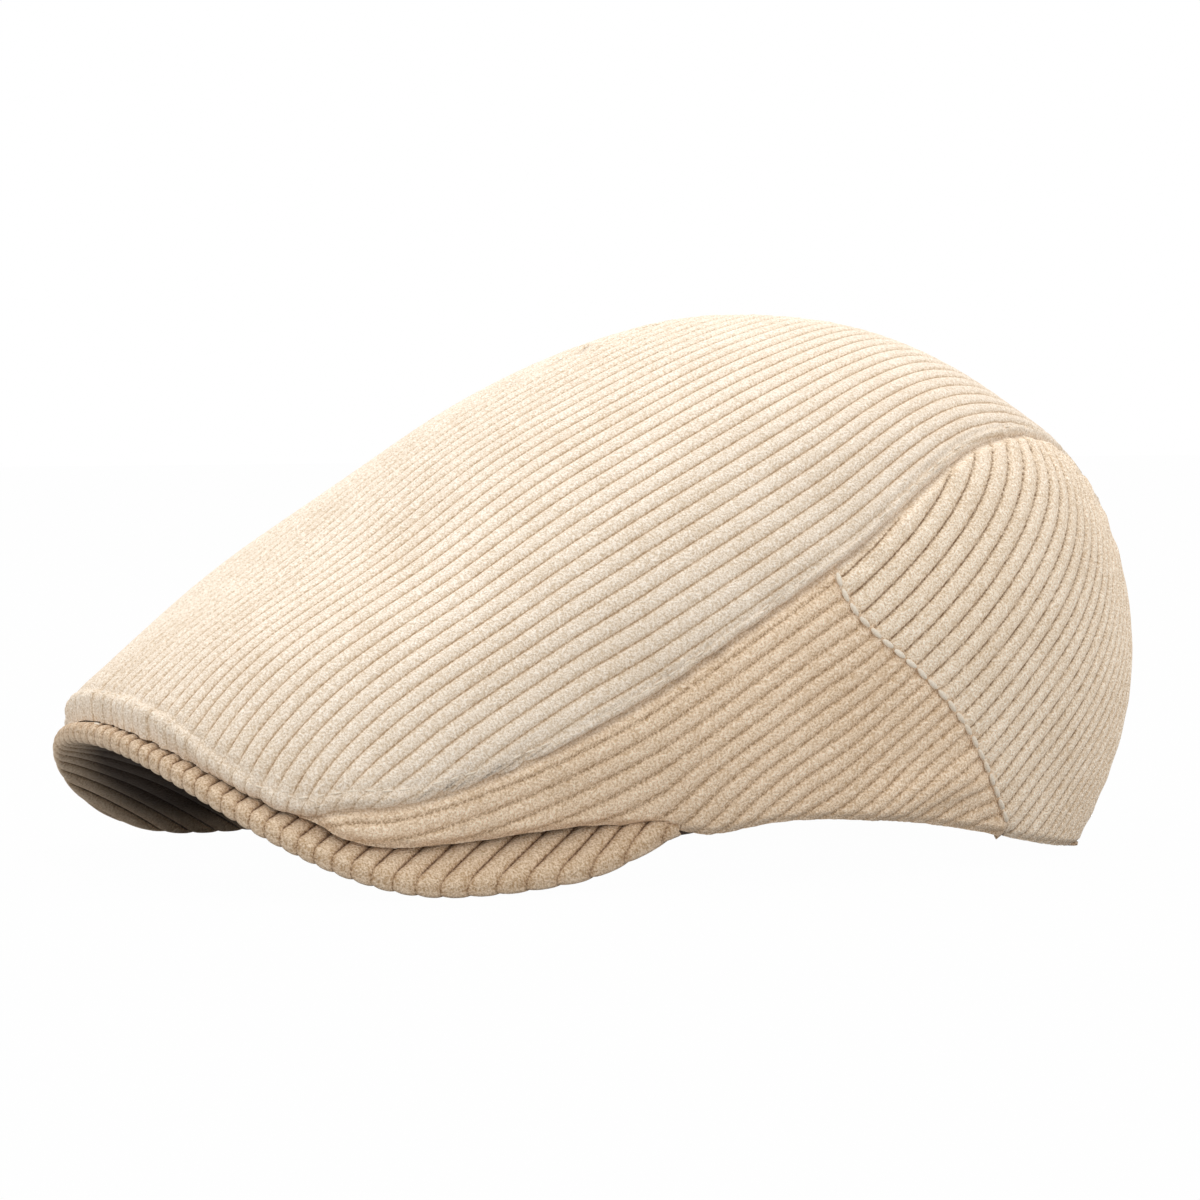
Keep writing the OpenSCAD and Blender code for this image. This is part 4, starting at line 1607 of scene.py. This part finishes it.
@dataclass
class Visor:
    """The board of the visor and the corduroy stretched over it."""

    shape: CapShape
    wales: Wales = field(default_factory=lambda: Wales(height=0.75))
    slant: float = 36.0
    rim_reach: float = 2.3
    rim_left: float = 0.6
    sweep: float = 118.6
    end: float = 71.0

    def __post_init__(self) -> None:
        """Set the distances from the rim at which a cover has rows, in mm."""
        self.rim_rows = np.array([0, 0.05, 0.2, 0.5, 0.95, 1.5, 2.3, 3.4])

    def cover(self, face: Face) -> Piece:
        """One cover of the visor, whose wales run slantwise and wrap round the rim.

        Args:
            face: Top or underside.

        Returns:
            The piece.
        """
        s = self.shape
        rim = s.visor_outline(np.linspace(-self.sweep, self.sweep, 1601))
        back = s.hem_outline(np.linspace(-self.end, self.end, 801), s.band_inset - s.gap)
        loop = np.concatenate([rim, back[::-1]])
        slant = math.radians(self.slant)
        along_way = np.array([-math.sin(slant), math.cos(slant)])
        cross_way = np.array([math.cos(slant), math.sin(slant)])
        level = loop @ cross_way
        count = np.arange(math.ceil(level.min() / self.wales.step + 0.3),
                          math.floor(level.max() / self.wales.step - 0.3) + 1)
        spans = [self.crossings(loop, cross_way, along_way, c * self.wales.step) for c in count]
        split = next(k for k, found in enumerate(spans) if len(found) >= 4)
        middle = (spans[split][1] + spans[split][2]) / 2
        start = split - 4
        front = [(k, f[0], f[1]) for k, f in enumerate(spans[:start + 1])]
        left = [(k, f[0], middle if len(f) < 4 and k < split else f[1])
                for k, f in enumerate(spans) if k >= start]
        right = [(k, middle if len(f) < 4 else f[2], f[1] if len(f) < 4 else f[3])
                 for k, f in enumerate(spans) if k >= start and (k < split or len(f) >= 4)]
        grids = []
        for part in (front, left, right):
            index, first, last = (np.array(v) for v in zip(*part))
            grids.append(self.cover_grid(face, count[index], first, last, rim, along_way, cross_way))
        return make_sheet(f"visor_{face.name.lower()}_corduroy", grids, s.cover * 0.8)

    def crossings(self, loop: Array, cross_way: Array, along_way: Array, level: float) -> list[float]:
        """Where a wale's line crosses the visor's outline.

        Args:
            loop: The closed outline in plan.
            cross_way: Direction across the wales.
            along_way: Direction along the wales.
            level: The line's distance across the wales, in mm.

        Returns:
            The distances along the wale, in order.
        """
        ahead = np.roll(loop, -1, axis=0)
        a, b = loop @ cross_way - level, ahead @ cross_way - level
        hit = (a < 0) != (b < 0)
        share = a[hit] / (a[hit] - b[hit])
        found = (loop[hit] + (ahead - loop)[hit] * share[:, None]) @ along_way
        return sorted(float(v) for v in found)

    def cover_grid(self, face: Face, count: Array, first: Array, last: Array, rim: Array,
                   along_way: Array, cross_way: Array) -> ClothGrid:
        """The grid of one part of a cover, over columns that follow its wales.

        Args:
            face: Top or underside.
            count: The columns' own numbers across the wales.
            first: Where each column starts.
            last: Where each column ends.
            rim: The front outline in plan.
            along_way: Direction along the wales.
            cross_way: Direction across the wales.

        Returns:
            The grid.
        """
        s = self.shape
        flat_rim = np.concatenate([rim, np.zeros((len(rim), 1))], 1)

        def laid(t: Array) -> Array:
            """Places in plan at distances t along the columns, at height 0."""
            plan = t[..., None] * along_way + (count * self.wales.step)[:, None, None] * cross_way
            return np.concatenate([plan, np.zeros(plan.shape[:2] + (1,))], -1)

        t = first[:, None] + (last - first)[:, None] * np.linspace(0, 1, 401)
        distance = nearest(laid(t), flat_rim)[0]
        t = np.stack([self.rows(column, d) for column, d in zip(t, distance)])
        plan = laid(t)
        d, run = nearest(plan, flat_rim)
        x, y = plan[..., 0], plan[..., 1]
        round_share = np.clip(1 - d / self.rim_reach, 0, 1)
        lift = s.visor_mid * np.sqrt(np.maximum(1 - round_share**2, 0))
        points = np.stack([x, y, s.visor_z(x, y) + face.value * lift], -1)
        ways = self.outward(points, x, y, round_share, face)
        turns = np.broadcast_to((count / self.wales.samples)[:, None], d.shape)
        ridge = self.wales.profile(turns)
        left = self.rim_left + (1 - self.rim_left) * smooth((d - 0.4) / 3.0)
        soft = 0.12 * ripple(points, 28.0, 31) * smooth(d / 6)
        moved = points + ways * (self.wales.height * left * (ridge - 1) + soft)[..., None]
        share = 1 - (0.4 + 0.6 * left) * (1 - ridge)
        # Painted shade: a thin dark line at the rim on top; on the underside, a painted shadow deepening
        # inwards from the rim.
        crease = 0.15 * bell(d / 0.4) if face is Face.TOP else 0.96 * smooth((d - 1.5) / 12)
        return ClothGrid(moved, ways, turns * self.wales.pitch, t, share, crease)

    def rows(self, column: Array, d: Array) -> Array:
        """Places of a column's rows, close together where it wraps round the rim.

        Args:
            column: Distances along the column, in mm.
            d: Distance from the rim at each.

        Returns:
            The rows' distances along the column.
        """
        top = int(d.argmax())
        wanted = self.rim_rows * min(1.0, d[top] * 0.8 / self.rim_rows[-1])
        near = column[0] + (column[-1] - column[0]) * 0.1 * self.rim_rows / self.rim_rows[-1]
        far = column[-1] - (near - column[0])[::-1]
        if d[0] < 0.5:
            near = np.interp(wanted, np.maximum.accumulate(d[:top + 1]), column[:top + 1])
        if d[-1] < 0.5:
            back = np.maximum.accumulate(d[top:][::-1])
            far = np.interp(wanted, back, column[top:][::-1])[::-1]
        near[0], far[-1] = column[0], column[-1]
        return np.concatenate([near, np.linspace(near[-1], far[0], 26)[1:-1], far])

    def outward(self, points: Array, x: Array, y: Array, round_share: Array, face: Face) -> Array:
        """Outward directions on a cover, level at the rim and square to the visor inside it.

        Args:
            points: The cover's points.
            x: Their X.
            y: Their Y.
            round_share: 1 at the rim's middle, 0 where the face is flat.
            face: Top or underside.

        Returns:
            Directions of length 1.
        """
        s = self.shape
        slope = (s.visor_z(x + 0.5, y) - s.visor_z(x - 0.5, y))
        slope_y = (s.visor_z(x, y + 0.5) - s.visor_z(x, y - 0.5))
        up = unit(np.stack([-slope, -slope_y, np.ones(x.shape)], -1)) * face.value
        rim = s.visor_outline(np.linspace(-self.sweep, self.sweep, 1601))
        step = unit(np.gradient(rim, axis=0))
        out = np.stack([step[:, 1], -step[:, 0], np.zeros(len(step))], 1)
        side = out[closest(np.stack([x, y], -1).reshape(-1, 2), rim)].reshape(points.shape)
        across = round_share[..., None]
        return unit(up * np.sqrt(np.maximum(1 - across**2, 0)) + side * across)

    def build(self, wardrobe: Wardrobe) -> None:
        """Build and dress the visor.

        Args:
            wardrobe: The cap's finishes.
        """
        for face, node in ((Face.TOP, "visor_top_cover"), (Face.UNDER, "visor_under_cover")):
            piece = self.cover(face)
            finish = wardrobe.visor_corduroy if face is Face.TOP else wardrobe.under_corduroy_painted_shadow
            dress(piece, finish, "visor_corduroy", node)
        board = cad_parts["visor_board"]
        for slot in board.material_slots:
            slot.material = wardrobe.board


# ---------------------------------------------------------------- inside


@dataclass
class Inside:
    """The lining and the sweatband."""

    shape: CapShape
    seam_share: float = 0.5
    fold: float = 0.8
    band_rows: tuple = (0, 0.6, 1.6, 4, 8, 12, 16, 20, 24, 28, 30.4, 31.4, 32.0)

    def lining(self, name: str, start: float, end: float, columns: int) -> Piece:
        """One piece of the lining, a little slack.

        Args:
            name: The piece's name.
            start: Share of the way to the edge where it starts, below 0 on the right.
            end: Share where it ends.
            columns: How many steps it has across.

        Returns:
            The piece.
        """
        s = self.shape
        rows = 110
        u, t = np.meshgrid(np.linspace(0, len(s.lining_feet) - 1, rows),
                           np.linspace(start, end, columns), indexing="ij")
        points, ways = s.lining_face(u, t)
        free = smooth((1 - np.abs(t)) / 0.25) * smooth(u / 0.8) * smooth((8 - u) / 0.8)
        seam = bell((np.abs(t) - self.seam_share) / 0.012)
        slack = self.fold * ripple(points, 34.0, 61) + 0.3 * ripple(points, 13.0, 62)
        points = points + ways * (free * (slack - 1.0) - 0.7 * seam)[..., None]
        grid = plain_grid(points, ways, t * 120, u * 26)
        return make_sheet(name, [grid], s.lining)

    def sweatband(self) -> Piece:
        """The ribbon round the head opening.

        Returns:
            The piece.
        """
        s = self.shape
        angles = np.linspace(0, 360, 361)[:-1]
        rows = np.array(self.band_rows)
        a, lift = np.meshgrid(angles, rows * s.band_height / rows[-1], indexing="ij")
        points, ways = s.band_face(a, s.band_inset, lift)
        middle = smooth(lift / 8) * smooth((s.band_height - lift) / 8)
        wave = 0.35 * ripple(points, 46.0, 71) - 0.35
        points = points + ways * (middle * wave)[..., None]
        grid = plain_grid(points, ways, lift, np.radians(a) * 91)
        return make_sheet("sweatband_ribbon", [grid], s.band * 0.9, closed=True)

    def build(self, wardrobe: Wardrobe) -> None:
        """Build and dress the inside.

        Args:
            wardrobe: The cap's finishes.
        """
        edge = self.seam_share
        top = self.lining("lining_top_satin", -edge, edge, 81)
        dress(top, wardrobe.satin, "lining_satin", "lining_top")
        for side in Side:
            name = side.name.lower()
            piece = self.lining(f"{name}_lining_satin", side.value * edge, side.value * 1.0, 41)
            dress(piece, wardrobe.satin, "lining_satin", f"{name}_lining_side")
        band = self.sweatband()
        dress(band, wardrobe.twill, "sweatband_twill", "sweatband")


# ---------------------------------------------------------------- thread


@dataclass
class Stitching:
    """The rows of stitches, each stitch a copy of one bead of thread."""

    shape: CapShape
    edge_sink: float = 0.4
    seam_sink: float = -0.05
    edge_stitch: float = 4.0
    seam_stitch: float = 4.0
    seam_margin: float = 0.02
    edge_bead: tuple[float, float] = (0.7, 0.6)
    seam_bead: tuple[float, float] = (0.9, 1.5)
    tack_bead: tuple[float, float] = (1.0, 0.9)
    front_station_run: float = 26.0
    tail_margin: float = 0.2
    band_row_lift: float = 4.0
    band_row_stitches: int = 144
    tack_places: tuple = ((-76.0, 8.4), (0.0, 2.6), (76.0, 8.4))
    tack_turn: float = 2.2

    def bead(self, length: float, width: float) -> Piece:
        """Model one stitch: a short rounded bead along X.

        Args:
            length: Its length in mm.
            width: Its width in mm.

        Returns:
            The bead.
        """
        bpy.ops.object.select_all(action="DESELECT")
        bpy.ops.mesh.primitive_uv_sphere_add(segments=6, ring_count=5, radius=width * MM / 2)
        bead = bpy.context.active_object
        bpy.ops.object.mode_set(mode="EDIT")
        bpy.ops.mesh.select_all(action="SELECT")
        bpy.ops.transform.rotate(value=math.pi / 2, orient_axis="Y", center_override=(0, 0, 0))
        bpy.ops.transform.resize(value=(length / width, 1.0, 0.8), center_override=(0, 0, 0))
        bpy.ops.object.mode_set(mode="OBJECT")
        return bead

    def row(self, name: str, points: Array, ways: Array, share: float, width: float) -> Piece:
        """Lay beads along a row of stitches and join them.

        Args:
            name: The piece's name.
            points: Where stitches start, in mm.
            ways: The outward directions there.
            share: Share of each step that its stitch covers.
            width: A stitch's width in mm.

        Returns:
            The piece.
        """
        steps = np.linalg.norm(np.diff(points, axis=0), axis=1)
        bead = self.bead(float(np.median(steps)) * share, width)
        source = np.empty(len(bead.data.vertices) * 3, np.float32)
        bead.data.vertices.foreach_get("co", source)
        source = source.reshape(-1, 3).astype(float)
        faces = [list(p.vertices) for p in bead.data.polygons]
        bpy.data.objects.remove(bead, do_unlink=True)
        middle = (points[:-1] + (points[1:] - points[:-1]) * share / 2) * MM
        forward = unit(points[1:] - points[:-1])
        up = unit(ways[:-1] - (ways[:-1] * forward).sum(-1, keepdims=True) * forward)
        side = np.cross(up, forward)
        dice = np.random.default_rng(len(points))
        turn = dice.uniform(-0.10, 0.10, len(middle))[:, None]
        forward, side = unit(forward + side * turn), unit(side - forward * turn)
        vertices = (
            source[None, :, :1] * forward[:, None] + source[None, :, 1:2] * side[:, None]
            + source[None, :, 2:] * up[:, None] + middle[:, None]
        ).reshape(-1, 3)
        size = len(source)
        every = [[v + size * k for v in f] for k in range(len(middle)) for f in faces]
        piece = new_piece(name, vertices, every)
        only(piece)
        bpy.ops.object.shade_smooth()
        return piece

    def edge_row(self, sign: int) -> tuple[Array, Array]:
        """The row along the top panel's edge, from the middle of the front to the tail.

        Args:
            sign: 1 on the left, -1 on the right.

        Returns:
            Where stitches start, and the outward directions there.
        """
        s = self.shape
        crown = Crown(s)
        inset = crown.rim_front
        start = inset / self.front_station_run
        front = np.linspace(0, 1, 11)[:-1] * (float(s.top_half(np.array(0.0))) - inset)
        back = np.linspace(start, s.last_station - self.tail_margin, 600)
        u = np.concatenate([np.full(len(front), start), back])
        q = np.concatenate([front, s.top_half(back) - crown.rim_at(back)])
        return self.spaced(u, q * sign, self.edge_stitch, self.edge_sink)

    def seam_row(self, sign: int) -> tuple[Array, Array]:
        """The row down the seam between side and back panel, with edge_row's arguments."""
        s = self.shape
        u, q = s.seam_line(np.linspace(self.seam_margin, 1 - self.seam_margin, 400))
        return self.spaced(u, q * sign, self.seam_stitch, self.seam_sink)

    def spaced(self, u: Array, q: Array, step: float, sink: float) -> tuple[Array, Array]:
        """Space stitches evenly along a line on the crown.

        Args:
            u: The line's stations.
            q: The line's distances from the middle line.
            step: Length of a stitch with its gap, in mm.
            sink: How deep the stitches lie in the cloth, in mm.

        Returns:
            Where stitches start, and the outward directions there.
        """
        points, ways = self.shape.crown(u, q)
        run = run_along(points)
        places = np.arange(0, run[-1], step)
        at = np.stack([np.interp(places, run, points[:, k]) for k in range(3)], 1)
        way = unit(np.stack([np.interp(places, run, ways[:, k]) for k in range(3)], 1))
        return at - way * sink, way

    def band_row(self) -> tuple[Array, Array]:
        """The row that holds the sweatband's foot, inside the head opening."""
        s = self.shape
        angles = np.linspace(0, 360, self.band_row_stitches + 1)
        points, ways = s.band_face(angles, s.band_inset + s.band + 0.1, self.band_row_lift)
        return points, -ways

    def tacks(self) -> tuple[Array, Array]:
        """The three bar tacks that hold the crown's front on the visor."""
        s = self.shape
        starts, ways = [], []
        for angle, inset in self.tack_places:
            turn = self.tack_turn if angle >= 0 else -self.tack_turn
            plan = s.visor_inset(np.array([angle, angle + turn]), np.array([inset, inset]))
            z = s.visor_z(plan[:, 0], plan[:, 1]) + s.visor_mid
            starts.append(np.concatenate([plan, z[:, None]], 1))
            ways.append([[0, 0, 1.0]] * 2)
        return np.array(starts), np.array(ways)

    def build(self, wardrobe: Wardrobe) -> None:
        """Lay and dress all rows.

        Args:
            wardrobe: The cap's finishes.
        """
        for side in Side:
            name = side.name.lower()
            points, ways = self.edge_row(side.value)
            piece = self.row(f"{name}_edge_stitches", points, ways, *self.edge_bead)
            dress(piece, wardrobe.thread, "thread", f"{name}_edge_stitching")
            points, ways = self.seam_row(side.value)
            piece = self.row(f"{name}_seam_stitches", points, ways, *self.seam_bead)
            dress(piece, wardrobe.thread, "thread", f"{name}_seam_stitching")
        points, ways = self.band_row()
        piece = self.row("sweatband_stitches", points, ways, *self.edge_bead)
        dress(piece, wardrobe.thread, "thread", "sweatband_stitching")
        starts, ways = self.tacks()
        parts = [self.row(f"tack_{k}", place, way, *self.tack_bead)
                 for k, (place, way) in enumerate(zip(starts, ways))]
        bpy.ops.object.select_all(action="DESELECT")
        for part in parts:
            part.select_set(True)
        bpy.context.view_layer.objects.active = parts[0]
        bpy.ops.object.join()
        parts[0].name = "visor_tack_threads"
        dress(parts[0], wardrobe.thread, "thread", "visor_tacks")


# ---------------------------------------------------------------- studio


@dataclass
class Studio:
    """The camera, the floor and the light."""

    azimuth: float = 65.7
    elevation: float = 2.8
    distance: float = 1.3
    target: tuple[float, float, float] = (0.0, 0.0005, 0.063)
    focal: float = 156.8
    floor_size: float = 8.0
    world_level: float = 1.0
    key_power: float = 13.0
    key_place: tuple[float, float, float] = (-0.35, 0.15, 1.9)
    key_size: float = 1.6
    floor_grey: float = 0.42
    floor_white: float = 0.985

    def camera(self) -> None:
        """Place the camera where the photograph was taken from."""
        data = bpy.data.cameras.new("camera")
        data.lens = self.focal
        data.sensor_width = 36.0
        data.clip_start = 0.01
        data.clip_end = 100.0
        a, e = math.radians(self.azimuth), math.radians(self.elevation)
        back = Vector((math.sin(a) * math.cos(e), -math.cos(a) * math.cos(e), math.sin(e)))
        camera = bpy.data.objects.new("camera", data)
        camera.location = Vector(self.target) + back * self.distance
        camera.rotation_euler = (-back).to_track_quat("-Z", "Y").to_euler()
        bpy.context.scene.collection.objects.link(camera)
        bpy.context.scene.camera = camera

    def seen(self, graph: Graph) -> Socket:
        """1 for what the camera sees directly or in a reflection, and 0 for light."""
        path = graph.add("ShaderNodeLightPath")
        shown = graph.math("MAXIMUM", path.outputs["Is Camera Ray"], path.outputs["Is Glossy Ray"])
        return graph.math("MAXIMUM", shown, path.outputs["Is Transmission Ray"])

    def floor(self) -> None:
        """Lay the pale floor."""
        bpy.ops.object.select_all(action="DESELECT")
        bpy.ops.mesh.primitive_plane_add(size=self.floor_size, location=(0, 0, 0))
        floor = bpy.context.active_object
        floor.name = "floor"
        made = bpy.data.materials.new("floor_paper")
        made.use_nodes = True
        graph = Graph(made.node_tree)
        shader = made.node_tree.nodes["Principled BSDF"]
        shader.inputs["Base Color"].default_value = (self.floor_grey,) * 3 + (1.0,)
        shader.inputs["Roughness"].default_value = 1.0
        shader.inputs["Specular IOR Level"].default_value = 0.0
        white = graph.add("ShaderNodeEmission", {"Color": (1.0, 1.0, 1.0, 1.0), "Strength": 1.0})
        share = graph.math("MULTIPLY", self.seen(graph), self.floor_white)
        mixed = graph.add("ShaderNodeMixShader", {0: share, 1: shader.outputs[0], 2: white.outputs[0]})
        clear = graph.add("ShaderNodeBsdfTransparent")
        below = graph.add("ShaderNodeNewGeometry").outputs["Backfacing"]
        mixed = graph.add("ShaderNodeMixShader", {0: below, 1: mixed.outputs[0], 2: clear.outputs[0]})
        output = made.node_tree.nodes["Material Output"]
        graph.join(mixed.outputs[0], output.inputs["Surface"])
        floor.data.materials.append(made)

    def world(self) -> None:
        """Surround the cap with even soft light and a white backdrop."""
        world = bpy.data.worlds.new("studio")
        bpy.context.scene.world = world
        world.use_nodes = True
        graph = Graph(world.node_tree)
        background = world.node_tree.nodes["Background"]
        level = graph.mix(self.seen(graph), (self.world_level,) * 3 + (1.0,), (1.0, 1.0, 1.0, 1.0))
        graph.join(level, background.inputs["Color"])
        background.inputs["Strength"].default_value = 1.0

    def lamp(self, name: str, place: tuple[float, float, float], size: float, power: float) -> None:
        """Hang a square soft lamp that faces the cap.

        Args:
            name: The lamp's name.
            place: Where it hangs, in metres.
            size: Its side, in metres.
            power: Its power, in watts.
        """
        data = bpy.data.lights.new(name, "AREA")
        data.size = size
        data.energy = power
        lamp = bpy.data.objects.new(name, data)
        lamp.location = place
        way = Vector((0.0, 0.0, 0.06)) - Vector(place)
        lamp.rotation_euler = way.to_track_quat("-Z", "Y").to_euler()
        bpy.context.scene.collection.objects.link(lamp)

    def build(self) -> None:
        """Set up the studio."""
        self.camera()
        self.floor()
        self.world()
        self.lamp("overhead", self.key_place, self.key_size, self.key_power)
        bpy.context.scene.view_settings.view_transform = "Standard"


def main() -> None:
    """Build the studio and the cap."""
    logging.basicConfig(level=logging.INFO, format="%(name)s: %(message)s")
    Studio().build()
    shape = CapShape()
    wardrobe = Wardrobe()
    Crown(shape).build(wardrobe)
    Visor(shape).build(wardrobe)
    Inside(shape).build(wardrobe)
    Stitching(shape).build(wardrobe)


if __name__ == "__main__":
    main()
